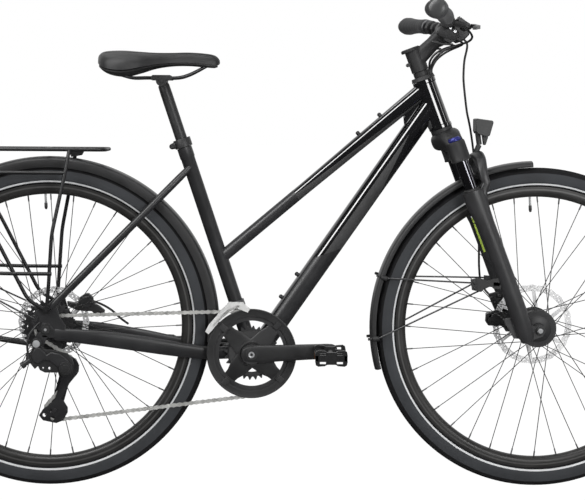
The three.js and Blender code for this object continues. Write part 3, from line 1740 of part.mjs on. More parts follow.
function pulley(w) {
  const half = tooth.width / 2;
  const phase = pinAngleOn(w);
  const hole = circle(0, 0, around(cage.pinRadius + running, 8), 8);
  const disc = slab(toothOutline(pulleyTeeth, phase), pulleyY - half, pulleyY + half, [hole]);
  return moved(disc, w.x, 0, w.z);
}
piece("guide_pulley", pulley(loop.wheels[3]), finishes.plastic);
piece("tension_pulley", pulley(loop.wheels[2]), finishes.plastic);

// Front derailleur: band clamp with its body, and the cage over the big ring.

const changer = {
  clampAlong: 108,
  clampHeight: 14,
  clampThickness: 4,
  cageInner: 100,
  cageOuter: 117,
  cageFrom: 98 * degree,
  cageTo: 155 * degree,
  frontPinInset: 6 * degree,
  rearPinInset: 3 * degree,
  plate: 1.2,
  halfGap: 4.6,
  bodyRadius: 8,
  pinRadius: 3,
};

function frontDerailleurBody() {
  const { clampAlong: at, clampHeight: tall, clampThickness: wall } = changer;
  const band = rod(onSeatTube(at - tall / 2), onSeatTube(at + tall / 2), tube.seatRadius + wall, 12);
  const hole = bore(onSeatTube(at - tall), onSeatTube(at + tall), tube.seatRadius + seam, 12);
  const foot = onSeatTube(at, tube.seatRadius / 2, -tube.seatRadius);
  const out = point(foot.x, ringY + changer.halfGap + changer.plate + seam, foot.z);
  return carved(joined(band, rod(foot, out, changer.bodyRadius, 8)), hole);
}
piece("front_derailleur", frontDerailleurBody(), finishes.matte);

function frontCage() {
  const s = changer;
  const { x: centreX, z: centreZ } = bottomBracket;
  const outline = arcBand(centreX, centreZ, s.cageInner, s.cageOuter, s.cageFrom, s.cageTo, 6);
  const outerPlate = slab(outline, ringY - s.halfGap - s.plate, ringY - s.halfGap);
  const innerPlate = slab(outline, ringY + s.halfGap, ringY + s.halfGap + s.plate);
  const pinAt = (angle, radius) => [
    centreX + radius * Math.cos(angle),
    centreZ + radius * Math.sin(angle),
  ];
  const inset = s.pinRadius + bite;
  const ends = [
    pinAt(s.cageFrom + s.frontPinInset, s.cageOuter - inset),
    pinAt(s.cageTo - s.rearPinInset, s.cageInner + inset),
  ];
  const reach = s.halfGap + s.plate / 2;
  const pinsAcross = ends.map(([x, z]) =>
    crossBar(x, z, ringY - reach, ringY + reach, s.pinRadius, 6),
  );
  return joined(outerPlate, innerPlate, pinsAcross);
}
piece("front_derailleur_cage", frontCage(), finishes.steel);

// Mudguards with their wire stays.

const mudguard = {
  thickness: 1.6,
  halfWidth: 25,
  shoulderHalf: 20,
  skirt: 13,
  crown: 5,
  stayRadius: 1.9,
  clipHalf: 5,
  clipAngle: 1.2 * degree,
};

function mudguardSection(outer) {
  const half = mudguard.halfWidth;
  const over = [
    [outer - mudguard.skirt, half],
    [outer - mudguard.crown, mudguard.shoulderHalf],
    [outer, 0],
    [outer - mudguard.crown, -mudguard.shoulderHalf],
    [outer - mudguard.skirt, -half],
  ];
  const under = over.map(([radius, y]) => {
    const atEdge = Math.abs(y) === half;
    const inward = atEdge ? mudguard.thickness : mudguard.thickness / 2;
    return [atEdge ? radius : radius - mudguard.thickness, y - Math.sign(y) * inward];
  });
  return [...over, ...under.reverse()];
}

const rearGuard = { outer: 376, from: -5.5 * degree, to: 192 * degree, stayAngle: 152 * degree };
const frontGuard = {
  outer: 371,
  from: 92 * degree,
  to: 195 * degree,
  stayAngles: [162 * degree, 184 * degree],
  strap: { front: 72, rear: 124, low: 94, high: 107, thickness: 4 },
};

function clipAt(centre, outer, angle) {
  const { skirt, clipHalf, clipAngle, halfWidth, thickness, stayRadius } = mudguard;
  const inner = outer - skirt;
  const ends = [angle - clipAngle, angle + clipAngle];
  const band = arcBand(centre.x, centre.z, inner, inner + clipHalf * 2, ...ends, 1);
  return slab(band, halfWidth - thickness, halfWidth + stayRadius * 2);
}

function rearMudguard() {
  const { outer, from, to, stayAngle } = rearGuard;
  const guardShell = channel(mudguardSection(outer), rearAxle, from, to, 17);
  const radius = outer - mudguard.skirt + mudguard.clipHalf;
  const clip = clipAt(rearAxle, outer, stayAngle);
  const seatY = dropoutOuter + dropout.bossLength + seam;
  const wire = rod(
    point(
      rearAxle.x + radius * Math.cos(stayAngle),
      mudguard.halfWidth + mudguard.stayRadius,
      rearAxle.z + radius * Math.sin(stayAngle),
    ),
    point(fenderEyelet.x, seatY + mudguard.stayRadius * 2 - bite / 2, fenderEyelet.z),
    mudguard.stayRadius,
    4,
  );
  const eyeEnd = seatY + mudguard.stayRadius * 3;
  const eye = crossBar(fenderEyelet.x, fenderEyelet.z, seatY, eyeEnd, dropout.bossRadius, 6);
  return joined(guardShell, bothSides(clip), bothSides(wire), bothSides(eye));
}
piece("rear_mudguard", rearMudguard(), finishes.matte);

function frontMudguard() {
  const { outer, from, to, stayAngles, strap } = frontGuard;
  const centre = { x: 0, z: 0 };
  const guardShell = channel(mudguardSection(outer), centre, from, to, 10);
  const radius = outer - mudguard.skirt + mudguard.clipHalf;
  const strapFace = fork.legSpread + legRadiusAt(strap.high) + seam;
  const wireY = strapFace + strap.thickness / 2;
  const wires = stayAngles.map((angle) =>
    rod(
      point(radius * Math.cos(angle), mudguard.halfWidth + mudguard.stayRadius, radius * Math.sin(angle)),
      point(-strap.rear, wireY, (strap.low + strap.high) / 2),
      mudguard.stayRadius,
      4,
    ),
  );
  const clips = stayAngles.map((angle) => clipAt(centre, outer, angle));
  const strapOutline = [
    [-strap.rear - mudguard.clipHalf, strap.low],
    [-strap.front, strap.low],
    [-strap.front, strap.high],
    [-strap.rear - mudguard.clipHalf, strap.high],
  ];
  const mount = slab(strapOutline, strapFace, strapFace + strap.thickness);
  const parts = [guardShell, ...[...wires, ...clips, mount].flatMap(bothSides)];
  return moved(joined(parts), frontAxle.x, 0, frontAxle.z);
}
piece("front_mudguard", frontMudguard(), finishes.matte);

// Rack: deck loop with slats, side frames, feet, and the tail light.

const rack = {
  front: 125,
  rear: -270,
  deckZ: 746.5,
  deckRadius: 4.2,
  corner: 22,
  halfWidth: 58,
  bellySpread: 85,
  railRadius: 4,
  railSpread: 70,
  railZ: 696,
  lowRailZ: 478,
  strutTop: 48,
  rearStrutTop: -206,
  rearStrutFoot: -37,
  rearStrutFootZ: 420,
  loopRear: -250,
  lowLoopRear: -150,
  bend: 34,
  slatShares: [0.33, 0.67],
  slatRadius: 3.4,
  spineHalfWidth: 9,
  spineHalfThickness: 2.4,
  footThickness: 7,
};

function rackSide() {
  const { railRadius, halfWidth, bellySpread, railSpread, railZ, lowRailZ, deckZ, bend } = rack;
  const footY = dropoutOuter + dropout.bossLength + seam;
  const strutY = footY + railRadius + seam;
  const footTop = { x: rackEyelet.x + dropout.bossRadius / 2, z: rackEyelet.z + dropout.height / 2 };
  const railFront = rack.strutTop - railRadius * 2;
  const bellyX = footTop.x + railRadius * 2;
  const frontStrut = [
    point(rack.strutTop, halfWidth, deckZ),
    point(railFront, railSpread, railZ),
    point(bellyX, bellySpread, (railZ + footTop.z) / 2),
    point(footTop.x, strutY, footTop.z),
    point(rackEyelet.x, strutY, rackEyelet.z + dropout.bossRadius),
  ];
  const middleX = (rack.rearStrutTop + rack.rearStrutFoot) / 2;
  const rearStrut = [
    point(rack.rearStrutTop, halfWidth, deckZ),
    point(middleX, bellySpread, (deckZ + rack.rearStrutFootZ) / 2),
    point(rack.rearStrutFoot, strutY, rack.rearStrutFootZ),
    point(rackEyelet.x, strutY, rackEyelet.z),
  ];
  const sideLoop = [
    point(railFront, railSpread, railZ),
    point((rack.strutTop + rack.loopRear) / 2, railSpread, railZ),
    point(rack.loopRear + bend, railSpread, railZ),
    point(rack.loopRear, railSpread + railRadius, railZ - bend),
    point(rack.lowLoopRear - bend, bellySpread, lowRailZ + bend),
    point(rack.lowLoopRear, bellySpread, lowRailZ + railRadius),
    point((rack.lowLoopRear + footTop.x) / 2, bellySpread, lowRailZ),
    point(bellyX, bellySpread, lowRailZ),
  ];
  const footEnd = footY + rack.footThickness;
  const footRadius = dropout.bossRadius + bite;
  const foot = crossBar(rackEyelet.x, rackEyelet.z, footY, footEnd, footRadius, 6);
  return [
    bent(frontStrut, railRadius, 6, 4),
    bent(rearStrut, railRadius, 5, 4),
    bent(sideLoop, railRadius, 10, 4),
    foot,
  ];
}

function rackSolid() {
  const { front, rear, halfWidth, deckZ, deckRadius, corner } = rack;
  const deckPath = [
    point(front - corner, halfWidth, deckZ),
    point(front, halfWidth - corner, deckZ),
    point(front, corner - halfWidth, deckZ),
    point(front - corner, -halfWidth, deckZ),
    point(rear + corner, -halfWidth, deckZ),
    point(rear, corner - halfWidth, deckZ),
    point(rear, 0, deckZ),
    point(rear, halfWidth - corner, deckZ),
    point(rear + corner, halfWidth, deckZ),
  ];
  const deck = bent(deckPath, deckRadius, 20, 5, true);
  const slats = rack.slatShares.map((share) => {
    const x = rear + (front - rear) * share;
    return crossBar(x, deckZ, -halfWidth, halfWidth, rack.slatRadius, 4);
  });
  const top = deckZ + rack.spineHalfThickness;
  const low = deckZ - rack.spineHalfThickness;
  const outline = [
    [rear, low],
    [front, low],
    [front, top],
    [rear, top],
  ];
  const spine = slab(outline, -rack.spineHalfWidth, rack.spineHalfWidth);
  return joined(deck, slats, spine, rackSide().flatMap(bothSides));
}
piece("rack", rackSolid(), finishes.matte);

const tailLight = { width: 70, height: 26, length: 16, drop: 6 };

function tailLightSolid() {
  const top = rack.deckZ - tailLight.drop;
  const x = rack.rear - rack.deckRadius - overrun;
  const shares = [
    [0, 0],
    [-1, -0.15],
    [-1, -0.75],
    [-0.5, -1],
    [0, -1],
  ];
  const { length, height } = tailLight;
  const outline = shares.map(([along, up]) => [x + along * length, top + height / 2 + up * height]);
  return slab(outline, -tailLight.width / 2, tailLight.width / 2);
}
piece("tail_light", tailLightSolid(), finishes.red);

// Kickstand on the left chainstay: its mount, and the leg folded back.

const kickstand = {
  pivotX: 4,
  pivotZ: 290,
  mountThickness: 9,
  legLength: 288,
  legRadius: 7,
  footRadius: 10,
  footLength: 34,
  foldAngle: 8.5 * degree,
  legY: 100,
  hubRadius: 14,
  pinRadius: 5,
};

const kickstandInner = chainstay.spread + chainstay.halfWidth + seam;

function kickstandMount() {
  const { pivotX, pivotZ, hubRadius, legY, legRadius, pinRadius, mountThickness } = kickstand;
  // Shares of the hub's radius, from the pivot in x and from the pivot or the axle in z.
  const lowShares = [
    [-1, 0],
    [-1, -0.7],
    [1, -0.7],
  ];
  const highShares = [
    [2.4, -1],
    [1.4, 0.3],
    [0.9, -1.3],
    [-0.2, -1.3],
  ];
  const rowAt = (shares, base) => shares.map(([x, z]) => [pivotX + x * hubRadius, base + z * hubRadius]);
  const outline = [...rowAt(lowShares, pivotZ), ...rowAt(highShares, rearAxle.z)];
  const plate = slab(outline, kickstandInner, kickstandInner + mountThickness);
  const pin = crossBar(pivotX, pivotZ, kickstandInner + bite, legY + legRadius, pinRadius, 8);
  return joined(plate, pin);
}
piece("kickstand_mount", kickstandMount(), finishes.matte);

function kickstandLeg() {
  const { pivotX, pivotZ, hubRadius, legY, legRadius, pinRadius, mountThickness } = kickstand;
  const inner = kickstandInner + mountThickness + seam;
  const outer = legY + legRadius;
  const hubPart = crossBar(pivotX, pivotZ, inner, outer - seam, hubRadius, 12);
  const way = point(-Math.cos(kickstand.foldAngle), 0, Math.sin(kickstand.foldAngle));
  const pivot = point(pivotX, legY - legRadius / 2, pivotZ);
  const end = pivot.clone().addScaledVector(way, kickstand.legLength);
  const heel = end.clone().addScaledVector(way, -kickstand.footLength);
  const leg = rod(pivot, end, legRadius, 8);
  const foot = rod(heel, end.clone().addScaledVector(way, bite), kickstand.footRadius, 8);
  const hole = crossBore(pivotX, pivotZ, inner - overrun, outer + overrun, pinRadius + running, 8);
  return carved(joined(hubPart, leg, foot), hole);
}
piece("kickstand_leg", kickstandLeg(), finishes.matte);

// Headlamp on its bracket, carried by the fork's arch.

const lamp = {
  rear: 935,
  front: 980,
  top: 820,
  low: 782,
  half: 26,
  frontDrop: 4,
  stemRadius: 3.5,
  stemRise: 14,
  stemShare: 0.3,
  tongue: 24,
  tongueHalf: 6,
  tongueShare: 0.55,
};

function headlampSolid() {
  const length = lamp.front - lamp.rear;
  const height = lamp.top - lamp.low;
  const sideShares = [
    [0, 0.5, 0.55],
    [0.08, 0.92, 0.8],
    [0.6, 1, 0.97],
    [1, 1, 1],
  ];
  const ringShares = [
    [1, 0.15],
    [0.8, 0.8],
    [0.35, 1],
    [-0.35, 1],
    [-0.8, 0.8],
    [-1, 0.15],
    [-0.85, -0.75],
    [-0.3, -1],
    [0.3, -1],
    [0.85, -0.75],
  ];
  const rings = sideShares.map(([way, tall, wide]) =>
    ringShares.map(([y, z]) =>
      point(
        lamp.rear + way * length,
        y * lamp.half * wide,
        lamp.low + height / 2 + z * tall * (height / 2) - way * lamp.frontDrop,
      ),
    ),
  );
  const body = loft(rings);
  const tongueX = lamp.rear + length * lamp.tongueShare;
  const tongueOutline = [
    [tongueX - lamp.tongueHalf, lamp.low + bite * 2],
    [tongueX - lamp.tongueHalf / 2, lamp.low - lamp.tongue],
    [tongueX + lamp.tongueHalf / 2, lamp.low - lamp.tongue],
    [tongueX + lamp.tongueHalf, lamp.low + bite * 2],
  ];
  const tongue = slab(tongueOutline, -lamp.tongueHalf, lamp.tongueHalf);
  const archMiddle = (fork.archRear + fork.archFront) / 2;
  const postPath = [
    onSteering(fork.archHigh + seam, archMiddle),
    onSteering(fork.archHigh + lamp.stemRise, archMiddle),
    point(lamp.rear + length * lamp.stemShare, 0, lamp.low + bite * 2),
  ];
  const post = bent(postPath, lamp.stemRadius, 5, 5);
  return joined(body, tongue, post);
}
piece("headlamp", headlampSolid(), finishes.plastic);

// Hoses and cable housings, each along the route that its points give, as [x, y, z].

const cord = { radius: 2.6, steps: 8, sides: 4 };

function route(points, steps = cord.steps, radius = cord.radius) {
  return bent(points.map(([x, y, z]) => point(x, y, z)), radius, steps, cord.sides);
}

// Two shift cables and the rear brake hose go down into one grommet on the headset's cover.
const grommet = { x: 838, y: -18, z: 921.5, radius: 6.6, height: 7, spread: 2.8, rise: 8 };
const shiftRouteRight = [
  [869, -93.2, 996],
  [888, -80, 990],
  [903, -60, 984],
  [906, -40, 979],
  [884, -30, 972],
  [862, -26, 962],
  [848, -20, 948],
];
const shiftRouteLeft = [
  [869, 93.2, 996],
  [888, 78, 989],
  [902, 40, 982],
  [893, 4, 980],
  [870, -20, 975],
  [848, -27, 964],
  [833, -22, 946],
];
const rearHoseStart = [
  [899, -99, 1016],
  [910, -90, 1011],
  [922, -70, 998],
  [916, -52, 988],
  [890, -42, 979],
  [864, -37, 968],
  [845, -30, 950],
];
const grommetPlaceShares = [
  [1, 0.6],
  [-1, 0.6],
  [0, -1.2],
];

function controlCables() {
  const { x, y, z, radius, height, spread, rise } = grommet;
  const cables = [shiftRouteRight, shiftRouteLeft, rearHoseStart].map((points, i) => {
    const px = x + grommetPlaceShares[i][0] * spread;
    const py = y + grommetPlaceShares[i][1] * spread;
    return route([...points, [px, py, z + height + rise], [px, py, z + height / 2]]);
  });
  return joined(rod(point(x, y, z), point(x, y, z + height), radius, 8), cables);
}
piece("control_cables", controlCables(), finishes.plastic);

const frontHose = { steps: 17 };
const frontHoseRoute = [
  [899, 99, 1016],
  [906, 92, 1011],
  [922, 74, 1000],
  [929, 60, 985],
  [922, 52, 951],
  [920, 50, 921],
  [921, 50, 896],
  [928, 52, 840],
  [934, 58, 815],
  [941, 74, 790],
  [950, 88, 740],
  [957, 90, 660],
  [964, 88, 540],
  [966, 91, 480],
  [970, 91, 448],
  [978, 80, 430],
  [989, 62, 417],
  [996, 50, 408],
  [998, 44, 402],
];
piece("front_brake_hose", route(frontHoseRoute, frontHose.steps), finishes.plastic);

const rearShiftRoute = [
  [-35.8, -88, 300],
  [-38, -88, 322],
  [-34, -85, 345],
  [-22, -80, 362],
  [-12, -76.5, 372],
];
piece("rear_shift_housing", route(rearShiftRoute, 6), finishes.plastic);

const rearHose = { steps: 6 };
const rearHoseRoute = [
  [78, 47, 404],
  [92, 48, 402],
  [111, 50, 394],
  [130, 53, 382],
  [150, 53, 364],
  [168, 52, 351],
];
piece("rear_brake_hose", route(rearHoseRoute, rearHose.steps), finishes.plastic);

// Brake calipers over the rotors.

const caliper = { inside: 9, outside: 9.6, rearOutside: 8, length: 33, depth: 24, gap: 3, legGap: 1 };

// A caliper's block about its axle: angle says where it stands, out how far it reaches outwards.
function caliperSolid(angle, radius, y, out) {
  const shares = [
    [-0.9, -1],
    [0.9, -1],
    [1, 0.3],
    [0.6, 1],
    [-0.6, 1],
    [-1, 0.3],
  ];
  const middle = radius - rotor.band / 2;
  const outline = shares.map(([along, up]) => {
    const x = along * caliper.length;
    const reach = middle + up * caliper.depth;
    return [reach * Math.cos(angle) - x * Math.sin(angle), reach * Math.sin(angle) + x * Math.cos(angle)];
  });
  const slot = crossBar(0, 0, y - caliper.gap / 2, y + caliper.gap / 2, radius + overrun, 30);
  return carved(slab(outline, y - caliper.inside, y + out), slot);
}

const rearCaliperAngle = 32 * degree;

function rearCaliperSolid() {
  const block = caliperSolid(rearCaliperAngle, rotor.rearRadius, rotor.rearY, caliper.rearOutside);
  const hoseRoom = route(rearHoseRoute, rearHose.steps, cord.radius + running);
  return carved(moved(block, rearAxle.x, 0, rearAxle.z), hoseRoom);
}
piece("rear_caliper", rearCaliperSolid(), finishes.matte);

const frontCaliperAngle = 147 * degree;

function frontCaliperSolid() {
  const block = caliperSolid(frontCaliperAngle, rotor.frontRadius, rotor.frontY, caliper.outside);
  const legRoom = rod(
    point(fork.legAhead, fork.legSpread, 0),
    point(fork.legAhead, fork.legSpread, fork.legTop),
    fork.legFootRadius + caliper.legGap,
    14,
    fork.legRadius + caliper.legGap,
  );
  const hoseRoom = route(frontHoseRoute, frontHose.steps, cord.radius + running)
    .translate(-steerFoot.x, 0, -steerFoot.z)
    .rotateY(steeringLean);
  return carved(moved(block, rake, 0, 0), legRoom, hoseRoom);
}
piece("front_caliper", frontCaliperSolid(), finishes.matte, steering);

// The ground is z = 0; the bicycle is centred between its foremost and rearmost points.
const foremost = frontAxle.x + tyreRadius;
const rearmost = rearAxle.x - rearGuard.outer;
bicycle.position.x = -(foremost + rearmost) / 2;

export default bicycle;
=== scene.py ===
import json
import math

import bmesh
import bpy
from mathutils import Matrix, Vector


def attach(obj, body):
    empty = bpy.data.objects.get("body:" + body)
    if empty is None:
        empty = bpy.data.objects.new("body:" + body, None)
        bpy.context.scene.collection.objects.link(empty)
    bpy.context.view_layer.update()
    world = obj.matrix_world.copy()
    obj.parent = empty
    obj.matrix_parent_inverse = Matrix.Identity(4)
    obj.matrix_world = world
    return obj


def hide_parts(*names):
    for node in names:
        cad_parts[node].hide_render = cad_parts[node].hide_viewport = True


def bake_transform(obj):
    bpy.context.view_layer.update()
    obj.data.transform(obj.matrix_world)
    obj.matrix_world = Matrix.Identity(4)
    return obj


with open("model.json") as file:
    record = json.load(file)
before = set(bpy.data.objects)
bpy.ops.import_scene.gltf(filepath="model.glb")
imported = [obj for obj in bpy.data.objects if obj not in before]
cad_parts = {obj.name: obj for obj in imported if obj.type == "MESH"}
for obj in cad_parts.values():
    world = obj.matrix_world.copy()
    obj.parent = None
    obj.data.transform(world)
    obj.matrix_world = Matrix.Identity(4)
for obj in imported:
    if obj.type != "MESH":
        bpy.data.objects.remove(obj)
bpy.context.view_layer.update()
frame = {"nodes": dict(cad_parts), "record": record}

# The looks of a touring bicycle. Lengths are millimetres ahead of the rear axle, to the
# rider's left and above the ground, and become the frame's metres in at().

scene = bpy.context.scene
scene.view_settings.view_transform = "Standard"

full_turn = 2 * math.pi
frame_middle = 530
rear_axle = (0, 356)
front_axle = (1080, 356)
crank_axle = (447, 302)
guide_axle = (44, 270)
tension_axle = (18.543, 176.4)
chain_pitch = 12.7
steering_foot = (1035.976, 339.54)
head_angle = math.radians(69.5)
seat_angle = math.radians(71.3)


def at(x, y, z):
    return Vector((x - frame_middle, y, z)) / 1000


def side_view(place):
    """The way ahead and the height of a place, in the millimetres that at() takes."""
    return place.x * 1000 + frame_middle, place.z * 1000


def about(centre, radius, turn):
    """The way ahead and the height at a radius and a turn in radians about a centre."""
    return centre[0] + radius * math.cos(turn), centre[1] + radius * math.sin(turn)


def from_axle(place, centre):
    return math.dist(side_view(place), centre)


def span(side, near, far):
    """The lower and upper y between two distances on the left (1) or the right (-1)."""
    return sorted((side * near, side * far))


def on_steering(up, ahead=0, y=0):
    """A place by its height along the steering axis and its way ahead of it."""
    c, s = math.cos(head_angle), math.sin(head_angle)
    x, z = steering_foot
    return at(x - c * up + s * ahead, y, z + s * up + c * ahead)


def on_seat_tube(up, behind=0):
    """A place in the middle plane by its height along the seat tube and its way behind it."""
    c, s = math.cos(seat_angle), math.sin(seat_angle)
    x, z = crank_axle
    return at(x - c * up - s * behind, 0, z + s * up - c * behind)


def round_axle(centre, radius, angle, y):
    """A place at a radius and an angle in degrees about an axle."""
    x, z = about(centre, radius, math.radians(angle))
    return at(x, y, z)


# The camera stands on the bicycle's right, at the height of the top tube.

camera_data = bpy.data.cameras.new("camera")
camera_data.sensor_width = 36
camera_data.lens = 92.43
camera_data.shift_y = -0.1371
camera = bpy.data.objects.new("camera", camera_data)
scene.collection.objects.link(camera)
scene.camera = camera
yaw, pitch, roll = (math.radians(a) for a in (1.10, 2.0, 0.40))
ahead = Vector((math.sin(yaw) * math.cos(pitch), math.cos(yaw) * math.cos(pitch), -math.sin(pitch)))
level = Vector((math.cos(yaw), -math.sin(yaw), 0))
upright = level.cross(ahead)
right = level * math.cos(roll) + upright * math.sin(roll)
top = upright * math.cos(roll) - level * math.sin(roll)
facing = Matrix((right, top, -ahead)).transposed().to_4x4()
camera.matrix_world = Matrix.Translation((-0.059, -3.333, 0.820)) @ facing


# Finishes.

def node(tree, kind, *fed, **named):
    """A node whose sockets are fed in order or by name, from other nodes or with plain values."""
    made = tree.nodes.new(kind)
    for key, value in [*named.items(), *enumerate(fed)]:
        if isinstance(key, str) and hasattr(made, key):
            setattr(made, key, value)
            continue
        socket = made.inputs[key.replace("_", " ") if isinstance(key, str) else key]
        value = value.outputs[0] if isinstance(value, bpy.types.Node) else value
        if isinstance(value, bpy.types.NodeSocket):
            tree.links.new(value, socket)
        else:
            socket.default_value = value
    return made


def shade(colour, amount):
    return (*(min(1, max(0, c * amount)) for c in colour), 1)


def finish(name, slot, colour, roughness, metallic=0.0, spread=0.2, cloud=18, grain=900, bump=0.15,
           stretch=(1, 1, 1), coat=0.0, sheen=0.0, specular=0.5, worn=0.0):
    """A surface whose colour and roughness drift a little and whose grain stands out finely."""
    material = bpy.data.materials.new(name)
    material.use_nodes = True
    material["slot"] = slot
    tree = material.node_tree
    shader = tree.nodes["Principled BSDF"]
    for socket, value in (("Metallic", metallic), ("Specular IOR Level", specular), ("Coat Weight", coat),
                          ("Coat Roughness", 0.04), ("Sheen Weight", sheen), ("Sheen Roughness", 0.4)):
        shader.inputs[socket].default_value = value
    place = node(tree, "ShaderNodeTexCoord").outputs["Object"]
    place = node(tree, "ShaderNodeMapping", place, Scale=stretch)
    drift = node(tree, "ShaderNodeTexNoise", place, Scale=cloud, Detail=4.0)
    fine = node(tree, "ShaderNodeTexNoise", place, Scale=grain, Detail=3.0, Roughness=0.6)
    blend = node(tree, "ShaderNodeMath", fine, 0.4, drift, operation="MULTIPLY_ADD")
    tone = node(tree, "ShaderNodeValToRGB", blend)
    low, high = tone.color_ramp.elements
    low.position, high.position = 0.5, 0.9
    low.color, high.color = shade(colour, 1 - spread), shade(colour, 1 + spread)
    tone = tone.outputs["Color"]
    if worn:
        edge = node(tree, "ShaderNodeNewGeometry").outputs["Pointiness"]
        rub = node(tree, "ShaderNodeMapRange", edge, From_Min=0.52, From_Max=0.62, To_Max=worn)
        mix = node(tree, "ShaderNodeMix", rub, data_type="RGBA")
        tree.links.new(tone, mix.inputs[6])
        mix.inputs[7].default_value = shade([c * 0.6 + 0.12 for c in colour], 1)
        tone = mix.outputs[2]
    rough = node(tree, "ShaderNodeMapRange", drift, From_Min=0.3, From_Max=0.7,
                 To_Min=max(0.02, roughness * 0.85), To_Max=min(1, roughness * 1.15))
    relief = node(tree, "ShaderNodeBump", Strength=bump, Distance=0.0004, Height=fine)
    for socket, source in (("Base Color", tone), ("Roughness", rough.outputs[0]),
                           ("Normal", relief.outputs["Normal"])):
        tree.links.new(source, shader.inputs[socket])
    return material


gloss_black = finish("gloss_black", "frame_paint", (0.006, 0.006, 0.007), 0.1, spread=0.3, bump=0.004,
                     grain=150, coat=1.0)
charcoal = finish("satin_charcoal", "frame_paint", (0.026, 0.026, 0.028), 0.4, spread=0.18, bump=0.10,
                  grain=2500, worn=0.2)
fork_grey = finish("fork_grey", "frame_paint", (0.034, 0.034, 0.036), 0.42, spread=0.15, bump=0.1,
                   grain=2500, worn=0.2)
panel_grey = finish("matte_grey_panel", "frame_paint", (0.050, 0.050, 0.051), 0.62, spread=0.12,
                    bump=0.1, grain=2500)
# Painted shade: a darker rubber that stands in for the shade on the tyre's tread and shoulders; it also
# covers the wall next to the rim.
shade_painted_tyre = finish("tyre_painted_shade", "tyre_rubber", (0.012, 0.012, 0.013), 0.85, spread=0.2, bump=0.3,
                     grain=1400, specular=0.2)
tyre_black = finish("tyre_rubber", "tyre_rubber", (0.050, 0.053, 0.058), 0.78, spread=0.2, bump=0.35,
                    grain=1400, cloud=10, sheen=0.1, specular=0.25)
reflective = finish("reflective_band", "tyre_rubber", (0.80, 0.81, 0.82), 0.45, spread=0.06, bump=0.1,
                    grain=3000)
rim_edge = finish("rim_edge", "alloy", (0.095, 0.094, 0.092), 0.4, 0.2, spread=0.1, bump=0.05)
rim_black = finish("black_rim", "alloy", (0.034, 0.033, 0.032), 0.4, 0.2, spread=0.2, bump=0.05,
                   stretch=(1, 4, 1))
spoke_black = finish("black_spoke", "dark_steel", (0.05, 0.05, 0.05), 0.3, 0.5, bump=0.05)
chain_steel = finish("chain_steel", "steel", (0.62, 0.62, 0.6), 0.3, 0.3, spread=0.3, bump=0.1, cloud=60)
cage_silver = finish("cage_silver", "steel", (0.84, 0.84, 0.83), 0.35, 0.1, spread=0.08, bump=0.05)
bright_steel = finish("bright_steel", "steel", (0.62, 0.63, 0.64), 0.28, 0.45, spread=0.1, bump=0.05)
brushed_disc = finish("brushed_disc", "steel", (0.93, 0.93, 0.94), 0.45, 0.1, spread=0.08, bump=0.1,
                      grain=2000)
dark_steel = finish("dark_steel", "dark_steel", (0.050, 0.050, 0.053), 0.38, 0.7, spread=0.3, bump=0.1,
                    worn=0.5)
grey_alloy = finish("grey_alloy", "alloy", (0.11, 0.11, 0.115), 0.42, 0.6, spread=0.2, bump=0.1,
                    worn=0.3)
black_alloy = finish("black_alloy", "alloy", (0.030, 0.030, 0.031), 0.45, 0.2, spread=0.2, bump=0.06,
                     worn=0.25)
black_chrome = finish("black_chrome", "alloy", (0.10, 0.10, 0.11), 0.10, 1.0, spread=0.1, bump=0.01)
stem_black = finish("stem_black", "alloy", (0.020, 0.020, 0.021), 0.5, 0.1, spread=0.15, bump=0.1,
                    grain=2200, worn=0.15)
cap_grey = finish("grip_cap", "soft_rubber", (0.062, 0.064, 0.064), 0.38, spread=0.1, bump=0.1,
                  grain=1500)
rack_black = finish("rack_black", "alloy", (0.013, 0.013, 0.014), 0.42, 0.1, spread=0.2, bump=0.08)
lamp_grey = finish("lamp_grey", "black_plastic", (0.045, 0.046, 0.046), 0.5, spread=0.12, bump=0.15,
                   grain=1800)
soft_plastic = finish("black_plastic", "black_plastic", (0.022, 0.022, 0.023), 0.55, spread=0.2,
                      bump=0.25, grain=1800, worn=0.15)
mudguard_grey = finish("mudguard_plastic", "black_plastic", (0.026, 0.026, 0.027), 0.34, spread=0.12,
                       bump=0.08, grain=1500)
grip_rubber = finish("grip_rubber", "soft_rubber", (0.052, 0.053, 0.055), 0.75, spread=0.15, bump=0.5,
                     grain=1100, sheen=0.15, specular=0.3)
hose_black = finish("hose_black", "soft_rubber", (0.014, 0.014, 0.015), 0.5, spread=0.2, bump=0.1)
saddle_leather = finish("saddle_leather", "saddle_cover", (0.017, 0.017, 0.018), 0.5, spread=0.25,
                        bump=0.5, grain=700, sheen=0.1, cloud=30, worn=0.1)
blue_anodised = finish("blue_anodised", "blue_alloy", (0.03, 0.035, 0.22), 0.35, 0.4, spread=0.15,
                       bump=0.03)
red_lens = finish("red_lens", "red_lens", (0.35, 0.01, 0.012), 0.15, spread=0.2, bump=0.4, grain=250,
                  coat=0.5)
lamp_face = finish("lamp_lens", "steel", (0.45, 0.46, 0.48), 0.12, 0.5, spread=0.2, bump=0.5,
                   grain=200, coat=1.0)
leg_sticker = finish("yellow_green_stripe", "frame_paint", (0.45, 0.62, 0.06), 0.45, spread=0.1,
                     bump=0.05)
pedal_amber = finish("amber_reflector", "red_lens", (0.18, 0.06, 0.01), 0.2, spread=0.15, bump=0.6,
                     grain=600)


# Ways of making a piece.

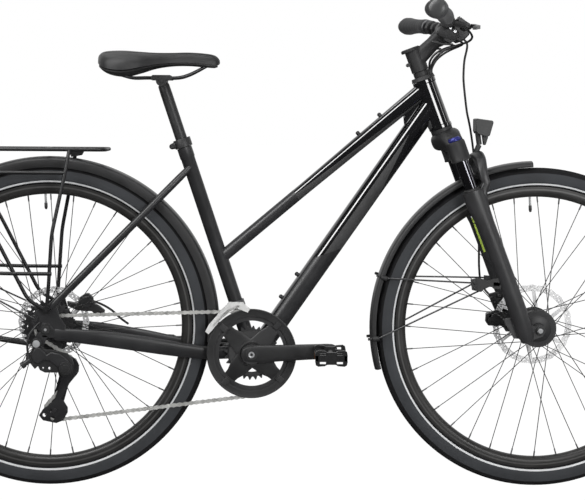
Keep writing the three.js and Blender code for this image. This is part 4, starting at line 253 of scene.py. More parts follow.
def piece(name, bm, body, materials, stands_for=(), sharp=35, bevel=0.0, subdivide=0):
    """A finished piece: closed, smooth up to an angle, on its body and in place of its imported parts."""
    bmesh.ops.remove_doubles(bm, verts=bm.verts, dist=2e-6)
    bmesh.ops.recalc_face_normals(bm, faces=bm.faces)
    mesh = bpy.data.meshes.new(name)
    bm.to_mesh(mesh)
    bm.free()
    for material in materials:
        mesh.materials.append(material)
    mesh.shade_smooth()
    mesh.set_sharp_from_angle(angle=math.radians(sharp))
    made = bpy.data.objects.new(name, mesh)
    scene.collection.objects.link(made)
    if bevel:
        edge = made.modifiers.new("rounded edges", "BEVEL")
        edge.width, edge.segments, edge.limit_method = bevel / 1000, 2, "ANGLE"
        edge.angle_limit, edge.harden_normals = math.radians(40), False
    if subdivide:
        soft = made.modifiers.new("smooth skin", "SUBSURF")
        soft.levels = soft.render_levels = subdivide
    settle(made, body, stands_for)
    return made


def settle(made, body, stands_for):
    """Puts a piece on its body, or across the joint of two, and hides the imported parts it stands for."""
    if isinstance(body, tuple):
        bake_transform(made)
    else:
        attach(made, body)
    if stands_for:
        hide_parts(*stands_for)


def wires(name, paths, radius, body, material, stands_for=(), resolution=3):
    """Round wires or tubes along paths; a point may carry its own share of the radius."""
    data = bpy.data.curves.new(name, "CURVE")
    data.dimensions = "3D"
    data.bevel_depth = radius / 1000
    data.bevel_resolution = resolution
    data.use_fill_caps = True
    for path in paths:
        spline = data.splines.new("POLY")
        spline.points.add(len(path) - 1)
        spline.use_smooth = True
        for corner, place in zip(spline.points, path):
            place, share = place if isinstance(place, tuple) else (place, 1)
            corner.co = (*place, 1)
            corner.radius = share
    data.materials.append(material)
    made = bpy.data.objects.new(name, data)
    scene.collection.objects.link(made)
    settle(made, body, stands_for)


def eased(points, steps=8):
    """A smooth way through points."""
    ends = [points[0] * 2 - points[1], *points, points[-1] * 2 - points[-2]]
    way = []
    for a, b, c, d in zip(ends, ends[1:], ends[2:], ends[3:]):
        for i in range(steps):
            t = i / steps
            way.append((2 * b + (c - a) * t + (2 * a - 5 * b + 4 * c - d) * t**2
                        + (3 * b - a - 3 * c + d) * t**3) / 2)
    return way + [points[-1]]


def value_at(ways, values, share):
    """A smooth value between values given at ways along a piece."""
    i = max(0, min(len(ways) - 2, sum(w <= share for w in ways) - 1))

    def slope(k):
        a, b = max(0, k - 1), min(len(ways) - 1, k + 1)
        return (values[b] - values[a]) / (ways[b] - ways[a])

    gap = ways[i + 1] - ways[i]
    t = (share - ways[i]) / gap
    return ((2 * t**3 - 3 * t**2 + 1) * values[i] + (t**3 - 2 * t**2 + t) * gap * slope(i)
            + (3 * t**2 - 2 * t**3) * values[i + 1] + (t**3 - t**2) * gap * slope(i + 1))


def next_ring(bm, ring):
    """A copy of a ring of corners, joined to it by a band of faces."""
    corners = set(ring)
    edges = {e for v in ring for e in v.link_edges if e.other_vert(v) in corners}
    made = bmesh.ops.extrude_edge_only(bm, edges=list(edges))["geom"]
    fresh = {v for v in made if isinstance(v, bmesh.types.BMVert)}
    return [next(e.other_vert(v) for e in v.link_edges if e.other_vert(v) in fresh) for v in ring]


def skin(bm, rings):
    """A closed skin over rings of places that all have as many corners."""
    ring = bmesh.ops.create_circle(bm, cap_ends=True, radius=1, segments=len(rings[0]))["verts"]
    for i, places in enumerate(rings):
        if i:
            ring = next_ring(bm, ring)
        for corner, place in zip(ring, places):
            corner.co = place
    bmesh.ops.contextual_create(bm, geom=list({e for v in ring for e in v.link_edges
                                               if e.other_vert(v) in ring}))


def swept(bm, path, sizes, sides=28, side=Vector((0, 1, 0)), power=1.0, turning=False):
    """A bar along a path, with a radius, or a width and a height, in millimetres at each point."""
    rings = []
    for i, centre in enumerate(path):
        forward = (path[min(i + 1, len(path) - 1)] - path[max(i - 1, 0)]).normalized()
        across = (side - forward * side.dot(forward)).normalized()
        side = across if turning else side
        tall = forward.cross(across)
        size = sizes[i] if isinstance(sizes, list) else sizes
        wide, high = size if isinstance(size, tuple) else (size, size)
        ring = []
        for k in range(sides):
            c, s = math.cos(k / sides * full_turn), math.sin(k / sides * full_turn)
            c, s = math.copysign(abs(c)**power, c), math.copysign(abs(s)**power, s)
            ring.append(centre + (across * c * wide + tall * s * high) / 1000)
        rings.append(ring)
    skin(bm, rings)


def lathed(bm, place, rings, sides=36):
    """A round part along an axis, with a radius at each height."""
    swept(bm, [place(height) for height, radius in rings], [radius for height, radius in rings], sides)


def bar(bm, start, end, radius, sides=20, side=Vector((0, 0.9, 0.43))):
    swept(bm, [start, end], radius, sides, side)


def across(bm, x, z, low, high, radius, sides=20):
    """A round bar across the bicycle, from y = low to y = high."""
    bar(bm, at(x, low, z), at(x, high, z), radius, sides, Vector((1, 0, 0)))


def spun(bm, profile, centre, start=0.0, turn=360.0, steps=96):
    """A closed profile of (radius, y) turned about an axle, in degrees from the way ahead."""
    corners = [bm.verts.new(round_axle(centre, radius, start, y)) for radius, y in profile]
    edges = [bm.edges.new(pair) for pair in zip(corners, corners[1:] + corners[:1])]
    whole = turn >= 360
    if not whole:
        bm.faces.new(corners)
    made = bmesh.ops.spin(bm, geom=corners + edges, cent=at(centre[0], 0, centre[1]), axis=(0, -1, 0),
                          angle=math.radians(turn), steps=steps, use_merge=whole, use_duplicate=False)
    if not whole:
        ends = [e for e in made["geom_last"] if isinstance(e, bmesh.types.BMEdge)]
        bmesh.ops.contextual_create(bm, geom=ends)


def ring_of(centre, radius, sides):
    return [about(centre, radius, k / sides * full_turn) for k in range(sides)]


def rectangle(left, low, right, high):
    return [(left, low), (right, low), (right, high), (left, high)]


def plate(bm, outline, low, high, holes=()):
    """A flat plate with holes, given in the side view, from y = low to y = high."""
    edges = []
    for loop in (outline, *holes):
        corners = [bm.verts.new(at(x, low, z)) for x, z in loop]
        edges += [bm.edges.new(pair) for pair in zip(corners, corners[1:] + corners[:1])]
    made = bmesh.ops.triangle_fill(bm, use_beauty=True, edges=edges, normal=(0, -1, 0))["geom"]
    faces = [f for f in made if isinstance(f, bmesh.types.BMFace)]
    grown = bmesh.ops.extrude_face_region(bm, geom=faces)["geom"]
    bmesh.ops.translate(bm, vec=(0, (high - low) / 1000, 0),
                        verts=[v for v in grown if isinstance(v, bmesh.types.BMVert)])


def tint(bm, index, test):
    """Gives the faces whose middle passes a test another finish."""
    for face in bm.faces:
        if test(face.calc_center_median()):
            face.material_index = index


def side_parts(name, body, material, layers=(), rounds=(), stands_for=(), bevel=0.0):
    """A piece of plates and of round bars, drawn in the side view between a low and a high y."""
    bm = bmesh.new()
    for outline, low, high, *holes in layers:
        plate(bm, outline, low, high, holes)
    for round_bar in rounds:
        across(bm, *round_bar)
    piece(name, bm, body, [material], stands_for, sharp=30, bevel=bevel)


def dressed(packed, body, material):
    """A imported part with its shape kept, its faces smooth and its edges rounded."""
    bm = bmesh.new()
    bm.from_mesh(frame["nodes"][packed].data)
    bmesh.ops.remove_doubles(bm, verts=bm.verts, dist=1e-5)
    bmesh.ops.dissolve_limit(bm, angle_limit=math.radians(0.5), verts=bm.verts, edges=bm.edges)
    piece(packed + "_finished", bm, body, [material], [packed], sharp=40, bevel=0.6)


# Cords: the gear and brake lines to the frame's grommet, and the hoses to the calipers.

hose_radius = 2.5
grommet = (838, -18)
line_spacing = 2.8


def hose(name, route, body, stands_for=()):
    """A free line along listed places, swept round with the hose's radius."""
    path = eased([at(*p) for p in route], 10)
    bm = bmesh.new()
    swept(bm, path, hose_radius, sides=14, side=Vector((0.2, 0.1, 1)), turning=True)
    made = piece(name, bm, body, [hose_black], stands_for, sharp=60)


def to_grommet(route, ahead, left):
    """A route that ends in the frame's grommet, at its own place among the lines there."""
    x, y = grommet[0] + line_spacing * ahead, grommet[1] + line_spacing * left
    return route + [(x, y, 930), (x, y, 918)]


turning = ("steering", "frame", at(890, -18, 985), at(838, -18, 924))
telescoping = ("steering", "fork_lowers", at(934, 58, 815), at(989, 62, 417))
right_gear = [(869, -93.2, 996), (886, -83, 990.5), (899, -69, 986), (903, -53, 982), (896, -39, 977.5),
              (881, -31, 971), (864, -25, 961), (850, -19, 948)]
left_gear = [(869, 93.2, 996), (888, 78, 989), (902, 40, 982), (893, 4, 980), (872, -20, 975),
             (850, -26, 964), (837, -22, 948)]
rear_brake = [(899, -99, 1016), (910, -90, 1011), (922, -70, 998), (916, -52, 988), (890, -42, 979),
              (864, -37, 968), (845, -30, 950)]
front_brake = [(899, 99, 1016), (906, 92, 1011), (922, 74, 1000), (929, 60, 985), (922, 52, 951),
               (920, 50, 921), (921, 50, 896), (928, 52, 840), (934, 58, 815), (941, 74, 790), (950, 88, 740),
               (957, 90, 660), (964, 88, 540), (966, 91, 480), (970, 91, 448), (978, 80, 430), (989, 62, 417),
               (996, 50, 408), (998, 44, 402)]
gear_loop = [(-35.8, -88, 300), (-38, -88, 322), (-34, -85, 345), (-22, -80, 362), (-12, -76.5, 372)]
brake_loop = [(78, 47, 404), (92, 48, 402), (111, 50, 394), (130, 53, 382), (150, 53, 364), (168, 52, 351)]
hose("right_gear_line", to_grommet(right_gear, 1, 0.6), turning, ["control_cables"])
hose("left_gear_line", to_grommet(left_gear, -1, 0.6), turning)
hose("rear_brake_line", to_grommet(rear_brake, 0, -1.2), turning)
hose("front_brake_line", front_brake, telescoping, ["front_brake_hose"])
hose("rear_gear_loop", gear_loop, "frame", ["rear_shift_housing"])
hose("rear_brake_loop", brake_loop, "frame", ["rear_brake_hose"])


# Wheels.

def tyre(name, body, packed, centre):
    """A casing with a reflective band on each wall, a grooved tread and shoulder blocks; the tread and
    shoulders are painted darker for their shade, and the wall next to the rim is painted as dark.
    """
    shoulder, rise, half_width = 333.5, 22.5, 23
    band_foot, band_head = 317.8, 321.5
    block_height = 0.0011
    grooves = (-10.5, -4, 4, 10.5)
    ribs = (2, 6.2, 8, 12.8, 15, 17, 18.8, 20.3)
    marks = [(0, 0)] + [(side * y, 0) for side in (1, -1) for y in ribs]
    marks += [(y + step, -1.4 if abs(step) < 0.8 else 0) for y in grooves for step in (-1.1, -0.6, 0.6, 1.1)]
    crown = [(shoulder + rise * math.sqrt(1 - (y / half_width)**2) + dip, y) for y, dip in sorted(marks)]
    wall = [(326.5, 22), (323.4, 20.9), (band_head, 19.4), (band_foot, 16.6), (315.4, 14), (313.2, 11.8)]
    profile = [(r, -y) for r, y in reversed(wall)] + crown + wall
    bm = bmesh.new()
    spun(bm, profile, centre, steps=144)
    tint(bm, 1, lambda p: band_foot < from_axle(p, centre) < band_head and abs(p.y) > 0.0158)
    # Painted shade: faces outside the wall band from 317 to 341.5 mm, the tread and shoulders and the wall
    # next to the rim, take the darker rubber; on the shoulders it stands in for their shade.
    tint(bm, 2, lambda p: not 317 <= from_axle(p, centre) <= 341.5)
    blocks = []
    for face in bm.faces:
        middle = face.calc_center_median()
        x, z = side_view(middle)
        angle = math.degrees(math.atan2(z - centre[1], x - centre[0])) % 360
        if 0.0128 < abs(middle.y) < 0.017 and int(angle / 2.5) % 3:
            blocks.append(face)
    raised = bmesh.ops.extrude_face_region(bm, geom=blocks)["geom"]
    tops = [v for v in raised if isinstance(v, bmesh.types.BMVert)]
    axle = at(centre[0], 0, centre[1])
    bmesh.ops.delete(bm, geom=blocks, context="FACES")
    for corner in tops:
        out = Vector((corner.co.x - axle.x, corner.co.y * 6, corner.co.z - axle.z)).normalized()
        corner.co += out * block_height
    piece(name, bm, body, [tyre_black, reflective, shade_painted_tyre], [packed], sharp=28)


def rim(name, body, packed, centre, valve):
    """A hollow rim with a pale edge, and a valve at an angle in degrees."""
    half = [(314, 12.5), (314.1, 11.1), (308, 10.2), (306, 7.5), (305.4, 3)]
    outer = [(309, 12.6), (305.5, 12.6), (300, 12.5), (295.5, 10.4), (292.4, 6), (291, 2)]
    profile = [*half, *((r, -y) for r, y in reversed(half)), *((r, -y) for r, y in outer), *reversed(outer)]
    bm = bmesh.new()
    spun(bm, profile, centre, steps=144)
    tint(bm, 1, lambda p: 305.5 < from_axle(p, centre) < 309)
    piece(name, bm, body, [rim_black, rim_edge], [packed], sharp=30)
    wires(name + "_valve", [[round_axle(centre, r, valve, 0) for r in (293, 271)]], 2.6, body, bright_steel)
    stem = [round_axle(centre, r, valve, 0) for r in (272, 271, 262, 257)]
    wires(name + "_valve_cap", [list(zip(stem, (0.8, 1, 1, 0.6)))], 3.6, body, soft_plastic)


spoke_count = 36
hole_inset = 3.2
nipple_seat = 291.4


def spokes(name, body, centre, flanges, flange_radius, crossing):
    """Round spokes, crossed on both flanges, with their nipples at the rim."""
    threads, nipples = [], []
    for i in range(spoke_count):
        sense = 1 if i // 2 % 2 else -1
        flange = flanges[i % 2]
        angle = i * 360 / spoke_count
        start = round_axle(centre, flange_radius - hole_inset, angle + sense * crossing, flange + sense * 2)
        end = round_axle(centre, nipple_seat, angle, math.copysign(2.4, flange))
        threads.append([start, end])
        nipples.append([end.lerp(start, 0.052), end.lerp(start, 0.045), end])
    wires(name + "_spokes", threads, 0.95, body, spoke_black, resolution=1)
    wires(name + "_nipples", [list(zip(nipple, (0.6, 1, 1))) for nipple in nipples], 1.7, body, grey_alloy,
          resolution=1)


def spoke_heads(bm, centre, flange, radius, thickness):
    """Spoke heads that sit in a flange, on both of its faces."""
    per_face = spoke_count // 4
    for k in range(per_face):
        for turn, side in ((0, 1), (180 / per_face, -1)):
            angle = k * 360 / per_face + turn
            ends = [round_axle(centre, radius - hole_inset, angle, flange + side * (thickness / 2 + step))
                    for step in (-0.4, 0.9)]
            bar(bm, *ends, 1.9, 8, Vector((1, 0, 0)))


def hub(name, body, packed, centre, profile, flanges, radius, thickness):
    """A turned hub shell with the heads of its spokes."""
    bm = bmesh.new()
    spun(bm, profile, centre, steps=64)
    for flange in flanges:
        spoke_heads(bm, centre, flange, radius, thickness)
    piece(name, bm, body, [black_alloy], [packed], sharp=32)


def rotor(name, body, packed, centre, y, radius):
    """A brake disc: a wavy drilled ring on leaning arms, riveted to a carrier."""
    bm = bmesh.new()
    outline = [about(centre, radius - 0.9 + 0.9 * math.cos(k / 6 * full_turn), k / 144 * full_turn)
               for k in range(144)]
    holes = [ring_of(centre, radius - 14.5, 90)]
    for k in range(30):
        for depth, turn, size in ((4.6, 0, 1.7), (8.6, 6, 1.9), (12, 1.5, 1.3)):
            holes.append(ring_of(about(centre, radius - depth, math.radians(k * 12 + turn)), size, 8))
    plate(bm, outline, y - 0.9, y + 0.9, holes)
    for k in range(6):
        inner, outer = math.radians(k * 60), math.radians(k * 60 + 28)
        arm = []
        for angle, reach, half in ((inner, 22, 5.5), (outer, radius - 13.6, 4.2)):
            spot = about(centre, reach, angle)
            arm += [about(spot, side * half, angle + math.pi / 2) for side in (1, -1)]
        plate(bm, [arm[0], arm[2], arm[3], arm[1]], y - 0.8, y + 0.8)
    plate(bm, ring_of(centre, 27, 48), y - 1.1, y + 1.1, [ring_of(centre, 7, 24)])
    for k in range(6):
        across(bm, *about(centre, 22, math.radians(k * 60 + 30)), y - 1.8, y + 3.2, 2.6, 12)
    tint(bm, 1, lambda p: from_axle(p, centre) < 27.5)
    piece(name, bm, body, [brushed_disc, black_alloy], [packed], sharp=30)


for name, centre, valve in (("front", front_axle, 93.1), ("rear", rear_axle, 92.3)):
    tyre(f"{name}_casing", f"{name}_wheel", f"{name}_tyre", centre)
    rim(f"{name}_hoop", f"{name}_wheel", f"{name}_rim", centre, valve)
front_flanges, front_flange_radius = (24, -30), 41.5
rear_flanges, rear_flange_radius = (30, -17.5), 27
spokes("front", "front_wheel", front_axle, front_flanges, front_flange_radius, 40)
spokes("rear", "rear_wheel", rear_axle, rear_flanges, rear_flange_radius, 60)
hub("front_dynamo_hub", "front_wheel", "front_hub", front_axle,
    [(6.5, -40), (12, -40), (13, -38.5), (14, -36.4), (28, -34.6), (30, -33.3), (40.6, -33.2), (41.5, -32.2),
     (41.5, -27.8), (40.6, -26.8), (37.2, -25.4), (36, -21), (36, 15), (37.2, 19.4), (40.6, 20.8),
     (41.5, 21.8), (41.5, 26.2), (40.6, 27.2), (30, 27.4), (28, 29), (18, 33), (17.5, 38), (13, 38.6),
     (13, 44), (6.5, 44)],
    front_flanges, front_flange_radius, 6.4)
hub("rear_hub_shell", "rear_wheel", "rear_hub", rear_axle,
    [(6.5, -22), (11, -22), (18, -21.6), (26, -20.6), (27, -19.8), (27, -15.2), (26, -14.4), (19.5, -12),
     (17, -6), (17, 18), (19.5, 24.4), (26, 26.8), (27, 27.6), (27, 32.4), (26, 33.2), (20, 34), (18, 42),
     (17.5, 50), (11, 51), (11, 62), (6.5, 62)],
    rear_flanges, rear_flange_radius, 5.6)
rotor("front_brake_disc", "front_wheel", "front_rotor", front_axle, 39.5, 90)
rotor("rear_brake_disc", "rear_wheel", "rear_rotor", rear_axle, 51.5, 80)


# Frame: top tube, down tube and head tube are gloss black with grey panels, the rest is satin.

def parted(bm, a, b):
    """Cuts the mesh along a line of the side view, and gives the test for what is on the line's left."""
    start, end = at(a[0], 0, a[1]), at(b[0], 0, b[1])
    left = Vector((start.z - end.z, 0, end.x - start.x))
    bmesh.ops.bisect_plane(bm, geom=bm.verts[:] + bm.edges[:] + bm.faces[:], plane_co=start,
                           plane_no=left.normalized())
    return lambda p: (p - start).dot(left) > 0


bm = bmesh.new()
swept(bm, [at(377, 0, 506.2), at(563, 0, 663.3), at(660, 0, 745.2), at(762, 0, 831.3), at(830.8, 0, 889.3)],
      [13.6, 13.6, 15.2, 17, 18], sides=44)
over = parted(bm, (537.1, 646.3), (770, 824.5))
ahead_of_end = parted(bm, (536, 660), (546, 643))
tint(bm, 1, lambda p: ahead_of_end(p) and not over(p))
tint(bm, 2, lambda p: not ahead_of_end(p))
piece("top_tube", bm, "frame", [gloss_black, panel_grey, charcoal], ["frame"], sharp=30)

bm = bmesh.new()
swept(bm, [at(460.7, 0, 302), at(616.4, 0, 526.2), at(838.5, 0, 846.3)], 23.2, sides=48)
over_panel = parted(bm, (603.6, 515), (784, 774.4))
over_foot = parted(bm, (514.6, 408.2), (588.4, 517.6))
past_foot = parted(bm, (592.3, 512.9), (618.8, 521.9))
before_head = parted(bm, (724.4, 642.8), (768.7, 736.1))
tint(bm, 1, lambda p: past_foot(p) and before_head(p) and not over_panel(p))
tint(bm, 2, lambda p: not past_foot(p) and not over_foot(p))
piece("down_tube", bm, "frame", [gloss_black, panel_grey, charcoal], sharp=30)

bm = bmesh.new()
lathed(bm, on_steering, [(490, 25.2), (491, 26), (497, 26), (499, 24.5), (594, 24.5), (596, 26), (602, 26),
                         (603, 25.2)], 48)
piece("head_tube", bm, "frame", [gloss_black], sharp=25)
side_parts("head_gusset", "frame", gloss_black, [([(780, 827), (784, 793), (846, 838), (836, 880)], -7, 7)],
           bevel=2)
bm = bmesh.new()
swept(bm, [at(831, -9, 829), at(834, -9, 825), at(842, -9, 799), at(844, -9, 795)], [4, 7, 7, 4], sides=24)
piece("head_buffer", bm, "frame", [soft_plastic], sharp=35)

# Seat tube, stays, bridges and dropouts are one piece.

bm = bmesh.new()
lathed(bm, on_seat_tube, [(0, 15.5), (450, 15.5), (452, 16.6), (475, 16.6)])
across(bm, *crank_axle, -36.5, 36.5, 21, 40)
for low, high in ((-36.5, -33), (33, 36.5)):
    across(bm, *crank_axle, low, high, 22.4, 40)
shares = (0, .2, .42, .63, .8, 1)
drops, spreads = (.2, .36, .62, .9, 1.05, 1), (1, .92, .71, .54, .42, .36)
heights, widths = (.76, .93, 1, .92, .82, .72), (.76, .93, 1, .95, .9, .85)
stay_foot, stay_head = at(8, 0, 402), on_seat_tube(430)
for side in (1, -1):
    chain_stay, sizes = [], []
    for i in range(17):
        s = i / 16
        chain_stay.append(at(18 * (1 - s) + 447 * s, side * 70 * value_at(shares, spreads, s),
                             356 - 54 * value_at(shares, drops, s)))
        sizes.append((7.5 * value_at(shares, widths, s), 17.5 * value_at(shares, heights, s)))
    swept(bm, chain_stay, sizes, sides=24, power=0.8)
    seat_stay = [stay_foot.lerp(stay_head, i / 12) for i in range(13)]
    for i, spot in enumerate(seat_stay):
        spot.y = side * 0.070 * value_at((0, .35, .7, .9, 1), (1, .86, .58, .32, .12), i / 12)
    swept(bm, seat_stay, [7.8] * 12 + [7], sides=20)
for bridge in (side_view(stay_foot.lerp(stay_head, 0.86)), (384, 302)):
    across(bm, *bridge, -26, 26, 6)
dropout = [(-.42, -.2), (-1.05, .5), (-.9, 1.05), (-.5, 1.45), (0, 1.6), (.72, 1.7), (.95, .9), (1.35, .25),
           (1.35, -.55), (.5, -.62), (-.25, -.55)]
dropout = [(rear_axle[0] + 31 * x, rear_axle[1] + 31 * z) for x, z in dropout]
for side in (1, -1):
    plate(bm, dropout, *span(side, 67.5, 73.5), [ring_of(rear_axle, 5.4, 20)])
    for x, z in ((2, 400), (-24, 380)):
        across(bm, x, z, *span(side, 70, 78.1), 7)
plate(bm, [(-16, 350), (4, 341), (-6, 318), (-18, 315), (-28, 322), (-27, 334)], -73.5, -67.5)
across(bm, -18, 327, -78, -67.5, 11, 24)
piece("rear_frame", bm, "frame", [charcoal], sharp=32, bevel=0.6)

side_parts("hanger_bolt", "frame", bright_steel, rounds=[
    (-18, 327, -95.4, -93.6, 8, 24), (-18, 327, -96.2, -95, 5.5, 6)], bevel=0.3)
side_parts("rear_axle_end", "frame", bright_steel, rounds=[(*rear_axle, -82.6, -81.4, 3, 20)])
side_parts("front_axle_end", "fork_lowers", bright_steel, rounds=[(*front_axle, -67.6, -66.6, 5.4, 24)])
side_parts("dropout_plate", "frame", black_alloy, rounds=[
    (*rear_axle, -74.8, -73, 16, 6), (*rear_axle, -76, -74.6, 13, 32)], bevel=0.4)

bm = bmesh.new()
over_down_tube, over_top_tube = Vector((-0.8213, 0, 0.5705)), Vector((-0.6453, 0, 0.7639))
for x, z, foot, out in ((533, 406, 21, over_down_tube), (568, 456.5, 21, over_down_tube),
                        (739.5, 812.2, 14, over_top_tube), (691.5, 771.8, 13, over_top_tube)):
    for tall, radius, sides in ((8.5, 4.6, 18), (10, 3, 12)):
        bar(bm, at(x, 0, z) + out * foot / 1000, at(x, 0, z) + out * (foot + tall) / 1000, radius, sides)
piece("frame_bosses", bm, "frame", [black_alloy], sharp=30, bevel=0.4)


# Drivetrain.

middle_sprocket, outer_ring, inner_ring, pulley_teeth = 13, 46, 28, 11


def pitch_radius(teeth):
    return chain_pitch / (2 * math.sin(math.pi / teeth))


def chain_way():
    """The chain's line in the side view: arcs on four wheels joined by straight runs.

    A wheel's radius is below zero where the chain passes it on the other side."""
    wheels = [(rear_axle, pitch_radius(middle_sprocket)), (crank_axle, pitch_radius(outer_ring)),
              (tension_axle, pitch_radius(pulley_teeth)), (guide_axle, -pitch_radius(pulley_teeth))]
    touches = []
    for (centre, radius), (after, next_radius) in zip(wheels, wheels[1:] + wheels[:1]):
        dx, dz = after[0] - centre[0], after[1] - centre[1]
        turn = math.atan2(dz, dx) + math.acos((radius - next_radius) / math.hypot(dx, dz))
        touches.append((turn, about(centre, radius, turn), about(after, next_radius, turn)))
    way = []
    for i, ((centre, radius), (turn, leaves, lands)) in enumerate(zip(wheels, touches)):
        before = touches[i - 1][0]
        sweep = (turn - before) % full_turn
        sweep = sweep - full_turn if radius > 0 else sweep
        steps = max(6, int(abs(sweep) * abs(radius)))
        way += [about(centre, radius, before + sweep * k / steps) for k in range(steps)]
        run = max(2, int(math.dist(leaves, lands)))
        way += [(leaves[0] + (lands[0] - leaves[0]) * k / run, leaves[1] + (lands[1] - leaves[1]) * k / run)
                for k in range(run)]
    return way


def chain_pins(count):
    """The pins' places at even steps along the chain, which leans outwards towards the front."""
    way = chain_way()
    lengths = [0]
    for a, b in zip(way, way[1:] + way[:1]):
        lengths.append(lengths[-1] + math.dist(a, b))
    pins, k = [], 0
    for i in range(count):
        goal = lengths[-1] * i / count
        while lengths[k + 1] < goal:
            k += 1
        share = (goal - lengths[k]) / (lengths[k + 1] - lengths[k])
        a, b = way[k], way[(k + 1) % len(way)]
        x, z = a[0] + (b[0] - a[0]) * share, a[1] + (b[1] - a[1]) * share
        skew = min(1, max(0, (x - 79.2) / (341.2 - 79.2)))
        pins.append((x, -54 + 2.5 * skew, z))
    return pins


pins = chain_pins(118)
link_end = [about((0, 0), 4.1, math.radians(90 + 20 * k)) for k in range(10)]
link_outline = [*link_end, (chain_pitch / 2, -2.7), *((chain_pitch - x, -z) for x, z in link_end),
                (chain_pitch / 2, 2.7)]
bm = bmesh.new()
for i, (pin, after) in enumerate(zip(pins, pins[1:] + pins[:1])):
    one = bmesh.new()
    inner, outer = (2.0, 2.7) if i % 2 else (2.9, 3.6)
    for low, high in ((-outer, -inner), (inner, outer)):
        plate(one, link_outline, low, high)
    reach, thick = (1.9, 3.2) if i % 2 else (4.0, 1.7)
    for x in (0, chain_pitch):
        across(one, x, 0, -reach, reach, thick, 10)
    run = Vector(after) - Vector(pin)
    turn = Matrix.Rotation(-math.atan2(run.z, run.x), 4, "Y")
    stretch = Matrix.Diagonal((run.length / chain_pitch, 1, 1, 1))
    bmesh.ops.translate(one, verts=one.verts, vec=-at(0, 0, 0))
    bmesh.ops.transform(one, verts=one.verts, matrix=Matrix.Translation(at(*pin)) @ turn @ stretch)
    link_mesh = bpy.data.meshes.new("link")
    one.to_mesh(link_mesh)
    one.free()
    bm.from_mesh(link_mesh)
    bpy.data.meshes.remove(link_mesh)
piece("chain_links", bm, "frame", [chain_steel], ["chain"], sharp=35)


def toothed(centre, teeth, start):
    """The outline of a chain wheel, with a gap under each pin."""
    radius = pitch_radius(teeth)
    steps = ((0, -3.9), (.16, -3.3), (.3, 0.2), (.43, 3.2), (.57, 3.2), (.7, 0.2), (.84, -3.3))
    return [about(centre, radius + rise, start + (k + share) / teeth * full_turn)
            for k in range(teeth) for share, rise in steps]


def pin_angle(centre, radius):
    """The angle of a pin that lies on a wheel, so that its teeth stand between the pins."""
    x, y, z = min(pins, key=lambda p: abs(math.dist((p[0], p[2]), centre) - radius))
    return math.atan2(z - centre[1], x - centre[0])


bm = bmesh.new()
for i, teeth in enumerate((11, middle_sprocket, 15, 18, 21, 24, 28)):
    y = -59 + 5 * i
    windows = []
    if teeth > 17:
        inside, outside = 22, pitch_radius(teeth) - 9
        middle, half = (inside + outside) / 2, (outside - inside) / 2
        windows = [ring_of(about(rear_axle, middle, k * full_turn / 8), half, 12) for k in range(8)]
    start = pin_angle(rear_axle, pitch_radius(teeth)) if teeth == middle_sprocket else 0.1 * i
    plate(bm, toothed(rear_axle, teeth, start), y - 0.9, y + 0.9, windows)
spun(bm, [(9, -62), (17.5, -62), (17.8, -60), (17.8, -27), (9, -27)], rear_axle, steps=48)
spun(bm, [(9.5, -63.4), (16, -63.4), (16.6, -62.4), (16.6, -61.6), (9.5, -61.6)], rear_axle, steps=48)
piece("cassette_sprockets", bm, "cassette", [dark_steel], ["cassette"], sharp=30)

outer_teeth = toothed(crank_axle, outer_ring, pin_angle(crank_axle, pitch_radius(outer_ring)))
side_parts("outer_chainring", "crankset", dark_steel,
           [(outer_teeth, -52.6, -50.4, ring_of(crank_axle, 72, 80))], stands_for=["chainring_outer"])
inner_teeth = toothed(crank_axle, inner_ring, 0.05)
side_parts("inner_chainring", "crankset", dark_steel,
           [(inner_teeth, -45.5, -43.5, ring_of(crank_axle, 45, 60))], stands_for=["chainring_inner"])

bm = bmesh.new()
spun(bm, [(98.5, -56), (98.1, -57.2), (96.4, -57.8), (94, -57), (86, -57.2), (81.4, -56.6), (81, -56),
          (81.4, -55.5), (98.1, -55.5)], crank_axle, steps=120)
for k in range(4):
    swept(bm, [round_axle(crank_axle, radius, 48 + 90 * k, -55.6) for radius in (75, 92)], (3, 7), sides=20,
          power=0.3)
piece("chain_guard_ring", bm, "crankset", [soft_plastic], ["chain_guard"], sharp=30)

crank_turn = math.radians(3)
crank_length = 0.170


